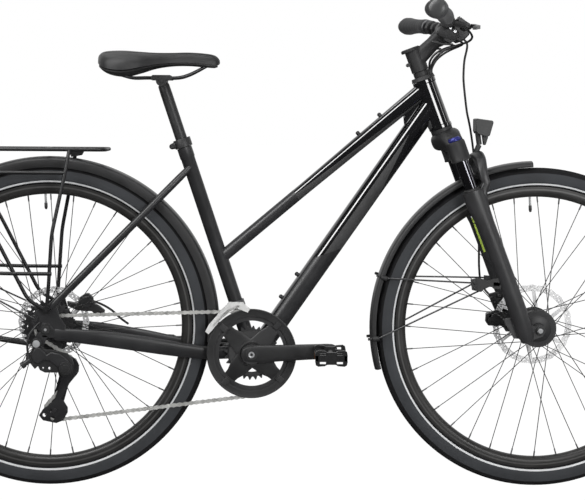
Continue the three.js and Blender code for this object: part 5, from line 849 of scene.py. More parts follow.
def crank_arm(name, packed, side):
    """A forged arm that narrows to the pedal and flares outwards, with its boss and bolt."""
    bm = bmesh.new()
    arm = Vector((math.cos(crank_turn), 0, math.sin(crank_turn))) * (1 if side < 0 else -1) * crank_length
    middle = at(crank_axle[0], 0, crank_axle[1])
    path, sizes = [], []
    for share, out, half, thick in (
            (-.125, 65, 9, 7), (-.11, 65, 15, 8), (-.07, 65, 19, 8.5), (.02, 65.5, 20.5, 8.5),
            (.16, 67, 19.4, 7.6), (.3, 68.2, 18.4, 6.8), (.5, 70, 17.6, 6.4), (.7, 72, 17, 6.3),
            (.86, 73.6, 16.6, 6.4), (.97, 74.4, 16.4, 6.5), (1.04, 74.6, 15.2, 6.4), (1.08, 74.7, 12, 6),
            (1.1, 74.7, 7, 5)):
        path.append(middle + arm * share + Vector((0, side * out / 1000, 0)))
        sizes.append((thick, half))
    swept(bm, path, sizes, sides=28, power=0.62)
    across(bm, *crank_axle, *span(side, 52, 72), 22, 36)
    across(bm, *side_view(middle + arm), *span(side, 66, 87), 7.6)
    if side < 0:
        for k in range(4):
            angle = crank_turn + math.radians(45 + 90 * k)
            out = Vector((math.cos(angle), 0, math.sin(angle)))
            inner, outer = middle + out * 0.012, middle + out * 0.083
            inner.y, outer.y = -0.0545, -0.0485
            swept(bm, [inner.lerp(outer, share) for share in (0, 0.5, 0.7, 0.97, 1)],
                  [(3.4, 24), (2.8, 20), (2.6, 15), (2.4, 13.5), (2.2, 10)], sides=24, power=0.5)
        angles = range(-108, -59, 6)
        slot = [about(crank_axle, 41, math.radians(angle)) for angle in angles]
        slot += [about(crank_axle, 29, math.radians(angle)) for angle in reversed(angles)]
        plate(bm, ring_of(crank_axle, 50, 72), -51.6, -49.6, [slot])
        spun(bm, [(24.4, -58), (24.4, -60), (26.4, -60.4), (28, -58.6), (28, -52), (24.4, -52)], crank_axle,
             steps=56)
    piece(name, bm, "crankset", [black_alloy], [packed], sharp=40)
    bm = bmesh.new()
    spun(bm, [(3.4, side * 73), (3.4, side * 74.8), (6.6, side * 75.4), (7.2, side * 73)], crank_axle,
         steps=32)
    piece(name + "_bolt", bm, "crankset", [bright_steel], sharp=30)
    side_parts(name + "_bolt_cap", "crankset", soft_plastic,
               rounds=[(*crank_axle, *span(side, 72, 74.4), 12.5, 40)], bevel=0.4)


crank_arm("right_crank", "crank_right", -1)
crank_arm("left_crank", "crank_left", 1)


def pedal(name, x, z, side):
    """A platform pedal: two toothed rails, end plates, a barrel and reflectors."""
    bm = bmesh.new()
    low, high = span(side, 91, 179)
    across(bm, x, z, *span(side, 87.6, 170), 8)
    for sign in (1, -1):
        edge = x + sign * 30.5
        rail = [(-3.6, -6), (3, -6), (3.6, -4), (3.6, 4), (3, 6), (-3.6, 6)]
        plate(bm, [(edge + sign * a, z + b) for a, b in rail], low, high)
        for k in range(9):
            y = low + 7 + k * (high - low - 14) / 8
            for rise in (1, -1):
                bar(bm, at(edge, y, z + rise * 5.4), at(edge, y, z + rise * 8), 1.8, 8)
    quarter = [(9, 13), (14, 16), (28, 17), (33, 14), (34.5, 6)]
    end_plate = [(-a, -b) for a, b in reversed(quarter)] + [(a, -b) for a, b in quarter] + [(33, 0)]
    end_plate += list(reversed(quarter)) + [(-a, b) for a, b in quarter] + [(-33, 0)]
    windows = [[(x + p * (18 + u * 6.5), z + q * (9.6 + v * 2.6)) for u, v in rectangle(-1, -1, 1, 1)]
               for p in (-1, 1) for q in (-1, 1)]
    for near, far in ((91, 98), (172, 179)):
        plate(bm, [(x + a, z + b) for a, b in end_plate], *span(side, near, far), windows)
    for mid in (z + 3, z - 3):
        plate(bm, rectangle(x - 33, mid - 1.4, x + 33, mid + 1.4), *span(side, 130, 140))
    piece(name, bm, name, [rack_black], [name], sharp=30, bevel=0.5)
    side_parts(name + "_reflectors", name, pedal_amber,
               [(rectangle(x + sign * 34.2, z - 4.5, x + sign * 34.8, z + 4.5), *span(side, 108, 162))
                for sign in (1, -1)], bevel=0.3)


pedal("pedal_right", 616.77, 310.9, -1)
pedal("pedal_left", 277.23, 293.1, 1)

pulleys = (("guide_pulley", guide_axle), ("tension_pulley", tension_axle))
for name, centre in pulleys:
    bm = bmesh.new()
    holes = [ring_of(about(centre, 11.5, k * full_turn / 5), 2.6, 10) for k in range(5)]
    start = pin_angle(centre, pitch_radius(pulley_teeth))
    plate(bm, toothed(centre, pulley_teeth, start), -55.2, -52.8, holes)
    spun(bm, [(2.6, -57.2), (7.6, -57.2), (8.2, -56), (8.2, -52), (7.6, -50.8), (2.6, -50.8)], centre,
         steps=28)
    piece(name + "_wheel", bm, name, [soft_plastic], [name], sharp=30)

# The cage that holds both pulleys: a plate on each side of the chain.

guide, tension = (Vector((x, 0, z)) for x, z in (guide_axle, tension_axle))
way = (tension - guide).normalized()
cross = Vector((-way.z, 0, way.x))
round_end = 12.4
inner_plate = []
for end, lean in ((guide, -1), (tension, 1)):
    for k in range(9):
        turn = math.pi * k / 8
        corner = end + cross * round_end * -lean * math.cos(turn) + way * round_end * lean * math.sin(turn)
        inner_plate.append((corner.x, corner.z))
outer_plate = [about(guide_axle, 26.5, math.radians(angle)) for angle in range(-48, 151, 11)]
outer_plate += [(24, 262), (30, 240), (17, 199), (14, 194), (-8, 179), (-17, 165), (-8, 154), (21, 148),
                (36, 154), (46, 172), (46, 183), (38, 196), (31, 201), (50, 236)]
cage_holes = [ring_of((x, z), radius, 14)
              for x, z, radius in ((7.2, 176, 4.2), (-5, 166, 4), (13, 158.6, 4.4))]
side_parts("pulley_cage", "cage", dark_steel,
           [(inner_plate, -49.3, -47.6), (outer_plate, -60.4, -58.7, *cage_holes)],
           [(*centre, low, high, radius, sides) for name, centre in pulleys
            for low, high, radius, sides in ((-61.8, -46.8, 2.4, 16), (-62.2, -60.2, 4.6, 6))],
           ["derailleur_cage"], 0.3)


# Suspension fork.

left_way = Vector((0, 1, 0))
leg_ahead = 11
leg_spread = 63
knob_radius = 14.7


def on_leg(up, side, ahead=leg_ahead):
    return on_steering(up, ahead, side * leg_spread)


def on_both_legs(bm, rings):
    for side in (1, -1):
        lathed(bm, lambda up: on_leg(up, side), rings)


bm = bmesh.new()
swept(bm, [on_steering(470), on_steering(489.4)], 24.4, sides=48)
swept(bm, [on_steering(600), on_steering(673)], 14.3, sides=32)
on_both_legs(bm, [(410, 20.6), (411, 22), (414, 22), (415, 21.4), (449, 21.4), (453.5, 20.6), (455, 19)])
path, sizes = [], []
for y in range(-66, 67, 6):
    share = abs(y) / 66
    path.append(on_steering(463 - 25 * share**3, 2.5 + 8.5 * share**1.5, y))
    sizes.append((22 - 7 * share**2, 34 - 14 * share))
swept(bm, path, sizes, sides=32, side=on_steering(1) - on_steering(0), power=0.72)
piece("fork_bridge", bm, "steering", [stem_black], ["fork_crown"], sharp=35)
bm = bmesh.new()
for side in (1, -1):
    swept(bm, [on_leg(232, side), on_leg(412, side)], 15, sides=40)
piece("fork_stanchions", bm, "steering", [black_chrome], sharp=30)

bm = bmesh.new()
for side in (1, -1):
    leg = [(-14, 11, 13), (-13, 13, 13), (-4, 16, 13.5), (4, 18, 14), (60, 19.6, 15.5), (200, 19.4, 15),
           (262, 19.4, 14), (290, 22, 12.5), (308, 24.5, 12), (334, 25, 11.5), (338, 24.6, 11),
           (340, 23.5, 11)]
    swept(bm, [on_leg(up, side, ahead) for up, deep, ahead in leg],
          [(min(deep, 19), deep) for up, deep, ahead in leg], sides=36)
    dropout = [side_view(on_steering(z * 15, -4 + x * 15)) for x, z in
               ((-1.1, 3.4), (.6, 3), (2.6, 1), (3.9, .3), (4.1, -.5), (3.5, -1), (2.2, -1), (.8, -.4),
                (-.6, .2))]
    plate(bm, dropout, *span(side, 50, 59), [ring_of(front_axle, 5.6, 20)])
    across(bm, *front_axle, *span(side, 49.5, 60.5), 12, 28)
arch = [(-63, 306), (-63.4, 322), (-63, 331), (-62.8, 338), (-62.6, 345), (-62.2, 349), (-61.5, 356),
        (-60, 364), (-55, 380), (-42, 395), (-22, 403), (0, 405)]
arch += [(-y, z) for y, z in reversed(arch[:-1])]
heights = (306, 320, 331, 338, 345, 356, 363, 380, 395, 405)
leans = (26, 29, 33, 38, 44.6, 45.6, 46.6, 49, 52, 53.5)
arch = eased([on_steering(z, value_at(heights, leans, z), y) for y, z in arch], 5)
swept(bm, arch, [(14.5 - 5 * (abs(place.y) * 1000 / leg_spread)**4, 9.4) for place in arch], sides=24,
      side=on_steering(0, 1) - on_steering(0), power=0.7)
for side in (1, -1):
    bar(bm, on_leg(308, side, 14), on_leg(310, side, 30), 8, 24, left_way)
piece("fork_legs", bm, "fork_lowers", [fork_grey], ["fork_lowers"], sharp=38)
bm = bmesh.new()
on_both_legs(bm, [(339.8, 17.6), (341.5, 18.4), (344.5, 17.8), (346, 15.9)])
piece("fork_wipers", bm, "fork_lowers", [soft_plastic], sharp=30)
bm = bmesh.new()
for low, high in ((190, 258), (261, 277)):
    swept(bm, [on_steering(low + (high - low) * k / 8, 3, 47.6) for k in range(9)], (1, 2.6), sides=16,
          power=0.5)
tint(bm, 1, lambda p: p.z > .5955)
piece("fork_leg_stripe", bm, "fork_lowers", [leg_sticker, reflective], sharp=30)

bm = bmesh.new()
lathed(bm, lambda up: on_leg(up, -1),
       [(455.3, 14.4), (456, 15), (459, 15), (459.6, 14.2), (462.5, 13.4), (464, 12), (464.3, 10.5)], 40)
for k in range(20):
    angle = k / 20 * full_turn
    spot = on_steering(456, leg_ahead + knob_radius * math.cos(angle),
                       knob_radius * math.sin(angle) - leg_spread)
    bar(bm, spot, spot + (on_steering(459.2) - on_steering(456)), 0.9, 6, left_way)
piece("lockout_knob", bm, "lockout", [blue_anodised], ["lockout_dial"], sharp=28)


# Mudguards, on their wire stays.

stay_spread = 26.5
front_guard_radius, rear_guard_radius = 371, 375
front_stay_angles, rear_stay_angle = (162, 184), 152


def mudguard(name, body, packed, centre, outer, start, turn, stays, skirt=13):
    """A crowned channel with rolled edges, and its stays."""
    half = [(outer - skirt, 24.6), (outer - 9, 24.8), (outer - 6, 24), (outer - 3.4, 21), (outer - 1.4, 14),
            (outer - 0.3, 6)]
    profile = half + [(outer, 0)] + [(radius, -y) for radius, y in reversed(half)]
    inside = [(radius - 1.5, y * 0.94) for radius, y in reversed(profile[1:-1])]
    rolled = [(outer - skirt - 0.6, -24.2), (outer - skirt - 0.4, -22.6)]
    profile = profile + rolled + inside + [(radius, -y) for radius, y in reversed(rolled)]
    bm = bmesh.new()
    spun(bm, profile, centre, start, turn, steps=max(24, int(turn / 1.6)))
    tint(bm, 1, lambda p: abs(p.y) > 0.0215)
    piece(name, bm, body, [mudguard_grey, soft_plastic], [packed], sharp=40)
    wires(name + "_stays", stays, 1.9, body, dark_steel)


def clip(bm, centre, outer, angle):
    """The moulded clip that holds a stay's end on a mudguard."""
    for side in (1, -1):
        low, high = (round_axle(centre, outer - depth, angle, side * stay_spread) for depth in (20, 4))
        swept(bm, [low, low.lerp(high, .1), low.lerp(high, .9), high], [3, 5.5, 5.5, 3], sides=16)
        tip = round_axle(centre, outer + 5, angle, side * (stay_spread - 3))
        bar(bm, high, tip, 3.2, 14, left_way)


front_stays, rear_stays = [], []
for side in (1, -1):
    for angle, z in zip(front_stay_angles, (459, 454)):
        end = round_axle(front_axle, 355, angle, side * stay_spread)
        front_stays.append([at(984, side * 66, z - 1), at(966, side * 66, z), end])
    end = round_axle(rear_axle, 360, rear_stay_angle, side * stay_spread)
    rear_stays.append([at(-24, side * 80, 380), at(-60, side * 78, 397), end])
mudguard("front_mudguard_shell", "fork_lowers", "front_mudguard", front_axle, front_guard_radius, 92, 103,
         front_stays)
bm = bmesh.new()
for angle in front_stay_angles:
    clip(bm, front_axle, front_guard_radius, angle)
for side in (-1, 1):
    plate(bm, [(974, 449), (992, 447), (992, 462), (974, 464)], *span(side, 58, 72))
piece("front_stay_clips", bm, "fork_lowers", [soft_plastic], sharp=30, bevel=0.6)
mudguard("rear_mudguard_shell", "frame", "rear_mudguard", rear_axle, rear_guard_radius, -5.5, 197.5,
         rear_stays, skirt=24)
bm = bmesh.new()
clip(bm, rear_axle, rear_guard_radius + 1, rear_stay_angle)
piece("rear_stay_clips", bm, "frame", [soft_plastic], sharp=30, bevel=0.6)


# Rack.

arc_steps = 6


def rounded(points, reach):
    """A path whose corners are turned in short arcs of a reach in millimetres."""
    way = [points[0]]
    for a, b, c in zip(points, points[1:], points[2:]):
        before, after = (b + (end - b).normalized() * min(reach / 1000, (end - b).length * 0.45)
                         for end in (a, c))
        for i in range(arc_steps + 1):
            t = i / arc_steps
            way.append(before * (1 - t)**2 + b * 2 * t * (1 - t) + after * t**2)
    return way + [points[-1]]


rack_top = 746.5
deck = [at(x, y, rack_top) for x, y in ((0, -58), (125, -58), (125, 58), (-270, 58), (-270, -58), (0, -58))]
tubes = [rounded(deck, 22)]
for side in (1, -1):
    front = [(48, 58, rack_top), (40, 70, 696), (13.5, 85, 563), (5.5, 82.7, 431), (2, 82.7, 402)]
    back = [(-206, 58, rack_top), (-121.5, 85, 583), (-37, 82.7, 420), (2, 82.7, 398)]
    loop = [(40, 70, 696), (-216, 70, 696), (-250, 74, 662), (-184, 85, 512), (-150, 85, 480), (-72, 85, 478),
            (13.5, 85, 478)]
    for line, reach in ((front, 18), (back, 18), (loop, 22)):
        tubes.append(rounded([at(x, side * y, z) for x, y, z in line], reach))
wires("rack_tubes", tubes, 4.1, "frame", rack_black, ["rack"], resolution=4)
bm = bmesh.new()
for x in (-138.5, -6.5):
    across(bm, x, rack_top, -58, 58, 4, 16)
plate(bm, rectangle(-268, 745.3, 124, 747.7), -9, 9)
for side in (1, -1):
    across(bm, 2, 399, *span(side, 78.6, 87), 8.5, 24)
    across(bm, 2, 399, *span(side, 86, 89.5), 4.6, 6)
for x in (-250, -138.5, -6.5, 110):
    across(bm, x, 748, -4.5, 4.5, 0.4, 8)
for side in (1, -1):
    plate(bm, [(40, 744), (74, 744), (68, 733), (46, 729)], *span(side, 6, 9))
piece("rack_deck", bm, "frame", [rack_black], sharp=30, bevel=0.4)

bm = bmesh.new()
across(bm, -276, 740, -35, 35, 12, 40)
plate(bm, [(-284, 727), (-270, 727), (-268, 731), (-268, 749), (-270, 753), (-284, 753)], -33, 33)
tint(bm, 1, lambda p: side_view(p)[0] > -277)
piece("tail_lamp", bm, "frame", [red_lens, soft_plastic], ["tail_light"], sharp=30, bevel=1.2)


# Saddle, seatpost and clamp.

saddle_rear, saddle_length, saddle_half_width = 106, 267, 84
saddle_crest, saddle_depth = 966, 50
saddle_ways = (0, .03, .1, .22, .34, .46, .6, .75, .9, .97, 1)
saddle_widths = (.42, .72, .94, 1, .9, .66, .42, .3, .24, .19, .1)
saddle_tops = (.28, .12, .04, .02, .06, .1, .1, .08, .14, .24, .42)
saddle_skirts = (.6, .78, .94, 1, .88, .72, .62, .6, .66, .68, .6)


def saddle_at(share, across_share, drop=0.0):
    """A place on the saddle's cover: its way from the rear, its share of the half width, its drop."""
    half = saddle_half_width * value_at(saddle_ways, saddle_widths, share)
    high = saddle_crest - saddle_depth * value_at(saddle_ways, saddle_tops, share)
    low = saddle_crest - saddle_depth * value_at(saddle_ways, saddle_skirts, share)
    return at(saddle_rear + saddle_length * share, half * across_share, high - (high - low) * drop)


def saddle_rings():
    """The cover's rings, with a shallow channel along the middle of its top."""
    rings = []
    for i in range(61):
        share = i / 60
        share = share - 0.02 * math.sin(full_turn * share)
        share = min(1, max(0, share))
        ring = []
        for k in range(40):
            turn = k / 40 * full_turn
            c, s = math.cos(turn), math.sin(turn)
            if s >= 0:
                y, drop = math.copysign(abs(c)**0.82, c), 1 - s**0.62
            else:
                y, drop = c * (1 - 0.10 * -s), 1 - 0.45 * (-s)**0.6
            if s > 0.6 and .1 < share < .9:
                drop += 0.10 * math.exp(-(y / 0.16)**2) * math.sin((share - .1) / .8 * math.pi)
            ring.append(saddle_at(share, y, drop))
        rings.append(ring)
    return rings


bm = bmesh.new()
skin(bm, saddle_rings())
cover = piece("saddle_cover", bm, "seat", [saddle_leather], ["saddle"], sharp=60, subdivide=1)
for name, spread in (("left", .60), ("right", -.60)):
    line = [saddle_at(.05 + .9 * k / 40, spread, .115) + Vector((0, 0, 0.0006)) for k in range(41)]
    wires("saddle_seam_" + name, [line], 0.9, "seat", soft_plastic)

bm = bmesh.new()
rings = []
for i in range(41):
    share = .02 + .96 * i / 40
    ring = []
    for k in range(24):
        turn = k / 24 * full_turn
        c, s = math.cos(turn), math.sin(turn)
        ring.append(saddle_at(share, c * .97, 1.02 + .16 * -s if s < 0 else 1.02 - .3 * s))
    rings.append(ring)
skin(bm, rings)
piece("saddle_shell", bm, "seat", [soft_plastic], ["saddle_base"], sharp=50)
rails = []
for side in (1, -1):
    rail = [(134, 30, 931), (150, 30, 914), (178, 24, 905), (215, 22, 905), (275, 22, 905), (305, 16, 912),
            (340, 7, 930), (352, 6, 937)]
    rails.append(eased([at(x, side * y, z) for x, y, z in rail], 6))
wires("saddle_rails", rails, 3.5, "seat", dark_steel)

bm = bmesh.new()
swept(bm, [on_seat_tube(400), on_seat_tube(600), on_seat_tube(618), at(246, 0, 892)], [13, 13, 12.6, 11],
      sides=36)
across(bm, 245, 898.4, -27, 27, 12, 32)
across(bm, 245, 898.4, -29.5, 29.5, 4.5, 20)
for side in (1, -1):
    plate(bm, [(222, 900), (268, 900), (270, 906), (264, 911), (226, 911), (220, 906)],
          *span(side, 15.5, 28))
piece("seatpost_tube", bm, "seat", [black_alloy], ["seatpost"], sharp=35, bevel=0.5)

bm = bmesh.new()
lathed(bm, on_seat_tube, [(475.3, 19), (476, 19.5), (494, 19.5), (495, 19)])
bolt = on_seat_tube(485, 24)
across(bm, *side_view(bolt), -13, 13, 6.5, 24)
across(bm, *side_view(bolt), -16.5, -12, 4.6, 6)
swept(bm, [on_seat_tube(485, 14), bolt], [(10, 9), (10, 6.5)], sides=20, power=0.6)
piece("seat_collar", bm, "frame", [black_alloy], ["seat_clamp"], sharp=32, bevel=0.4)


# Handlebar, stem and grips.

bar_middle = (872.967, 1014.176)
bar_half_width, bar_sweep, bar_rise = 308, 54, 28
bar_radius, clamp_radius = 11, 15.9


def on_bar(share, side, ahead=0.0):
    """A place on the handlebar by its share of the half width, on the left (1) or right (-1)."""
    shares = (0, .11, .3, .62, 1)
    back = bar_sweep * value_at(shares, (0, 0, .06, .45, 1), share)
    rise = bar_rise * value_at(shares, (0, 0, .3, .72, 1), share)
    return at(bar_middle[0] - back + ahead, side * bar_half_width * share, bar_middle[1] + rise)


bm = bmesh.new()
path, sizes = [], []
for i in range(-40, 41):
    share = abs(i) / 40
    path.append(on_bar(share, -1 if i < 0 else 1))
    thicker = min(1, max(0, (.18 - share) / .08))
    sizes.append(bar_radius + (clamp_radius - bar_radius) * thicker)
swept(bm, path, sizes, sides=28, side=Vector((1, 0, 0)))
piece("handlebar_tube", bm, "steering", [black_alloy], ["handlebar"], sharp=40)

bm = bmesh.new()
lathed(bm, on_steering, [(612.5, 17), (613, 17.6), (623, 17.6), (623.6, 17)])
lathed(bm, on_steering, [(624, 18.4), (625, 19.2), (673, 19.2), (674, 18.4)])
lathed(bm, lambda up: on_steering(up, -5), [(672, 20), (673, 21.5), (678, 21.5), (680, 19)])
lathed(bm, on_steering, [(678, 5), (679, 5)], 20)
arm_foot, arm_head = on_steering(651), at(bar_middle[0], 0, bar_middle[1])
arm_way = (arm_head - arm_foot).normalized()
swept(bm, [arm_foot.lerp(arm_head, s) for s in (0, .2, .55, .8, .92)],
      [(17, 19), (16.5, 18), (15.5, 16), (17, 17.5), (19, 19)], sides=28, power=0.72)
swept(bm, [at(bar_middle[0], y, bar_middle[1]) for y in (-24, -23, 23, 24)], [20.6, 21.8, 21.8, 20.6],
      sides=36, side=Vector((1, 0, 0)))
for y in (-16, 16):
    for up in (-13.5, 13.5):
        lift = left_way.cross(arm_way) * up / 1000
        spot = arm_head + arm_way * 0.0195 + lift + left_way * y / 1000
        bar(bm, spot - arm_way * 0.006, spot, 3.6, 14)
across(bm, *side_view(on_steering(646, -21)), -12, 12, 4.2, 16)
piece("stem_body", bm, "steering", [stem_black], ["stem"], sharp=38)

grip_ways = (0, .06, .3, .55, .8, .94, 1)
for side, name in ((1, "left"), (-1, "right")):
    rings = []
    for i in range(33):
        way = i / 32
        size = 17.5 * value_at(grip_ways, (.9, 1, .93, .96, 1.08, 1.18, 1.05), way)
        wing = 7 * value_at(grip_ways, (0, 0, .15, .55, 1, 1, .75), way)
        groove = .35 * math.sin(way * 60) if .08 < way < .9 else 0
        centre = on_bar(.58 + .42 * way, side)
        ring = []
        for k in range(32):
            c, s = math.cos(k / 32 * full_turn), math.sin(k / 32 * full_turn)
            reach = (size + groove + (wing if c < 0 else 0)) * c
            tall = (size + groove) * s
            ring.append(centre + Vector((reach / 1000, 0, (tall - .12 * wing * max(0, -c)) / 1000)))
        rings.append(ring)
    bm = bmesh.new()
    skin(bm, rings)
    piece(f"{name}_grip_rubber", bm, "steering", [grip_rubber], [f"grip_{name}"], sharp=50)
    bm = bmesh.new()
    swept(bm, [on_bar(.545, side), on_bar(.575, side)], 16.4, sides=32, side=Vector((1, 0, 0)))
    piece(f"{name}_grip_ring", bm, "steering", [grey_alloy], sharp=30, bevel=0.8)
    bm = bmesh.new()
    swept(bm, [on_bar(share, side, -1.5) for share in (.995, 1.01, 1.018, 1.025, 1.028)],
          [20.5, 20.5, 18.5, 13, 5], sides=36, side=Vector((1, 0, 0)))
    piece(f"{name}_grip_cap", bm, "steering", [cap_grey], sharp=60)


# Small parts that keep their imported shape, with rounded edges and their own finishes.

for packed, body, material in (
        ("headset_cover", "frame", soft_plastic), ("bottom_bracket", "frame", grey_alloy),
        ("front_derailleur", "frame", grey_alloy), ("rear_axle", "frame", black_alloy),
        ("kickstand_mount", "frame", black_alloy), ("kickstand_leg", "kickstand", black_alloy),
        ("brake_master_left", "steering", soft_plastic), ("brake_master_right", "steering", soft_plastic),
        ("shifter_left", "steering", soft_plastic), ("shifter_right", "steering", soft_plastic),
        ("shift_lever_left", "shift_lever_left", soft_plastic),
        ("shift_lever_right", "shift_lever_right", soft_plastic),
        ("brake_lever_left", "brake_lever_left", rack_black),
        ("brake_lever_right", "brake_lever_right", rack_black),
        ("front_axle", "fork_lowers", black_alloy)):
    dressed(packed, body, material)

# Headlamp: a box with a clear face, on a bracket from the fork's bridge.

lamp_side = [(939, 818), (941, 820.5), (976.5, 815.5), (978, 811), (970, 782.5), (966, 780.5), (942, 787),
             (939, 792)]
bm = bmesh.new()
plate(bm, lamp_side, -26, 26)
tint(bm, 1, lambda p: p.x > 0.441 and abs(p.y) < 0.024 and .785 < p.z < .812)
plate(bm, [(955, 788), (969.4, 786), (968.4, 777), (963.5, 761.5), (959, 761.5), (957, 775)], -8, 8)
bar(bm, on_steering(408, 50), at(950, 0, 762), 6)
bar(bm, at(950, 0, 762), at(946, 0, 790), 6)
piece("headlamp_body", bm, "fork_lowers", [lamp_grey, lamp_face], ["headlamp"], sharp=30, bevel=1.6)


# Cockpit bodies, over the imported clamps.

for side, x, z, name in ((-1, 864, 1003, "right"), (1, 880, 1006, "left")):
    bm = bmesh.new()
    swept(bm, [at(x, side * y, z) for y in (90, 92, 121, 123)], [(21, 10), (24, 13), (24, 13), (21, 10)],
          sides=36, side=Vector((1, 0, -.3)).normalized(), power=0.8)
    piece(name + "_shifter_case", bm, "steering", [soft_plastic], sharp=35)
    bm = bmesh.new()
    lid = Vector((.8, 0, -.6))
    swept(bm, [at(896, side * y, 1022) for y in (99, 101, 141, 143)],
          [(16, 4), (18, 5.5), (18, 5.5), (16, 4)], sides=36, side=lid, power=0.5)
    for k in range(-4, 5):
        rib = at(896, 0, 1022) + lid * 0.0042 * k + Vector((-lid.z, 0, lid.x)) * 0.0052
        bar(bm, rib + Vector((0, side * .102, 0)), rib + Vector((0, side * .140, 0)), 1.1, 8, lid)
    piece(name + "_reservoir_lid", bm, "steering", [black_alloy], sharp=30)
    side_parts(name + "_clamp_bolts", "steering", bright_steel,
               rounds=[(x + ahead, z + up, *span(side, 112, 126), 3.4, 18)
                       for ahead, up in ((-6, 15), (4, 10), (14, 3))], bevel=0.3)

console = [(884, 1019), (898, 1025), (903, 1024), (923, 1011), (922, 1004), (910, 992), (898, 987),
           (886, 994)]
console_top = [(892, 1022), (905, 1027), (925, 1013), (923, 1009), (904, 1022)]
side_parts("bar_console", "steering", rack_black, [(console, -23, 23), (console_top, -17, 17)], bevel=2.5)

# Derailleurs.

link_side = [(-38.6, 302), (-30, 310.7), (-24, 322), (-8, 322), (0, 314), (15.3, 313.1), (32.6, 309),
             (47.7, 305.6), (58, 296), (62, 283), (59.7, 262), (41.3, 256.6), (28.4, 264.1), (.3, 264),
             (-10.5, 269.4), (-14.8, 278.1), (-21.3, 271.6), (-32.1, 284.6)]
link_face = [(-29.4, 302.6), (-20, 318), (-10, 318), (5.1, 303), (14, 309.3), (33.2, 305.1), (50.4, 292.1),
             (58, 274.7), (50.5, 260.6), (38.5, 261.6), (31.1, 274.6), (11.6, 289.8), (-1.3, 291.9),
             (-14.2, 283.1), (-25, 289.6)]

bm = bmesh.new()
plate(bm, link_side, -90, -82, [ring_of((10, 273), 3.4, 16), ring_of((-4, 274), 2, 12)])
across(bm, -18, 327, -92, -77, 11, 32)
across(bm, *guide_axle, -92, -60.8, 14, 36)
across(bm, 45.8, 274, -96.4, -90, 14.5, 36)
across(bm, 45.8, 274, -97, -96, 8, 32)
bar(bm, at(-31, -88, 292), at(-46, -88, 281), 6)
bar(bm, at(-44, -88, 282.5), at(-50, -88, 278), 7.4)
bar(bm, at(-37, -88, 292), at(-36, -88, 304), 4.4, 16)
piece("derailleur_link", bm, "frame", [black_alloy], ["rear_derailleur"], sharp=30, bevel=0.5)
side_parts("derailleur_face", "frame", charcoal, [(link_face, -94, -90)], bevel=1.6)

guide_outer = [(345.5, 350), (353, 364.5), (368, 382), (380, 397), (397.5, 414), (428, 414), (433, 406),
               (443, 400), (438, 392.4), (423.3, 398.5), (411, 400.5), (394.9, 389.4), (375.3, 372),
               (361, 354), (352.5, 344.5)]
guide_slot = [(360, 363.5), (378, 384.4), (396, 400.5), (418, 409), (420, 405), (399.8, 396), (381.8, 380.3),
              (363.6, 360.5)]
side_parts("front_cage_outer", "frame", cage_silver, [(guide_outer, -60.6, -59.2, guide_slot)],
           stands_for=["front_derailleur_cage"], bevel=0.3)
bm = bmesh.new()
plate(bm, guide_outer, -46.9, -45.7)
for x, z in ((350, 350), (434, 404), (420, 411)):
    bar(bm, at(x, -46.4, z), at(x, -60, z), 2.6, 14)
piece("front_cage_inner", bm, "frame", [cage_silver], sharp=30, bevel=0.3)


# Calipers: a block with the round caps of its pistons and bolts.

front_block = [(977, 379.8), (983.8, 383), (1008.8, 383), (1017.3, 377.7), (1030, 368), (1040.9, 359.5),
               (1038.9, 342), (1024, 340), (1011.4, 351), (981.9, 351.8), (975.8, 361.5)]
front_arm = [(981, 423), (1008, 430), (1014, 411), (1012, 380), (1000, 380), (990, 402)]
front_caps = ((996, 367, 13), (1032, 350, 5), (990, 415, 4.5), (1006, 420, 4.5))
side_parts("front_caliper_body", "fork_lowers", black_alloy, [(front_block, 43.5, 58), (front_arm, 50, 57)],
           [(x, z, 42, 60, radius, 24) for x, z, radius in front_caps], ["front_caliper"], 1.6)
side_parts("front_caliper_inside", "fork_lowers", black_alloy, rounds=[
    (997.6, 370.4, 31, 36.6, 18, 40), (997.6, 370.4, 29.6, 31, 12, 32), (981, 377, 31, 50, 5.5, 24)], bevel=1)
mount = [(924.4, 468.6), (940.8, 472.4), (962.8, 466.6), (990, 474), (990, 455), (958.5, 452.3),
         (947.7, 441.3), (927.9, 445.6)]
side_parts("stay_mount", "fork_lowers", black_alloy, [(mount, -72, -66)],
           [(935, 462, -74, -64, 5, 24), (935, 450, -74, -64, 4, 24)], bevel=1)
rear_block = [(30, 402.7), (54.3, 398), (58.7, 411.8), (70, 420), (78, 421), (88, 412), (90.3, 399),
              (103.8, 391.4), (115.1, 382), (112, 371), (97.1, 367.5), (85.8, 380.3), (67.8, 381),
              (49.8, 383), (32, 392)]
rear_caps = ((73, 401, 14), (38, 396, 5), (106, 379, 5))
side_parts("rear_caliper_body", "frame", black_alloy, [(rear_block, 43.5, 58)],
           [(x, z, 42, 60, radius, 24) for x, z, radius in rear_caps], ["rear_caliper"], 1.6)


# Light: a pale studio with a key lamp, a fill lamp and three long lamps for the gloss.

world = bpy.data.worlds.new("studio")
scene.world = world
world.use_nodes = True
tree = world.node_tree
tree.nodes.clear()
white = (1, 1, 1, 1)
rays = node(tree, "ShaderNodeLightPath").outputs
direction = node(tree, "ShaderNodeSeparateXYZ", node(tree, "ShaderNodeTexCoord").outputs["Generated"])
backdrop = node(tree, "ShaderNodeMapRange", direction.outputs["Y"], From_Min=-0.1, From_Max=0.5, To_Min=0.07,
                To_Max=0.9)
mirrored = node(tree, "ShaderNodeBackground", white, backdrop)
ambient = node(tree, "ShaderNodeBackground", white, 0.32)
seen = node(tree, "ShaderNodeBackground", white, 1.0)
glossy = node(tree, "ShaderNodeMixShader", rays["Is Glossy Ray"], ambient, mirrored)
through = node(tree, "ShaderNodeMath", rays["Is Camera Ray"], rays["Is Transmission Ray"],
               operation="MAXIMUM")
node(tree, "ShaderNodeOutputWorld", node(tree, "ShaderNodeMixShader", through, glossy, seen))


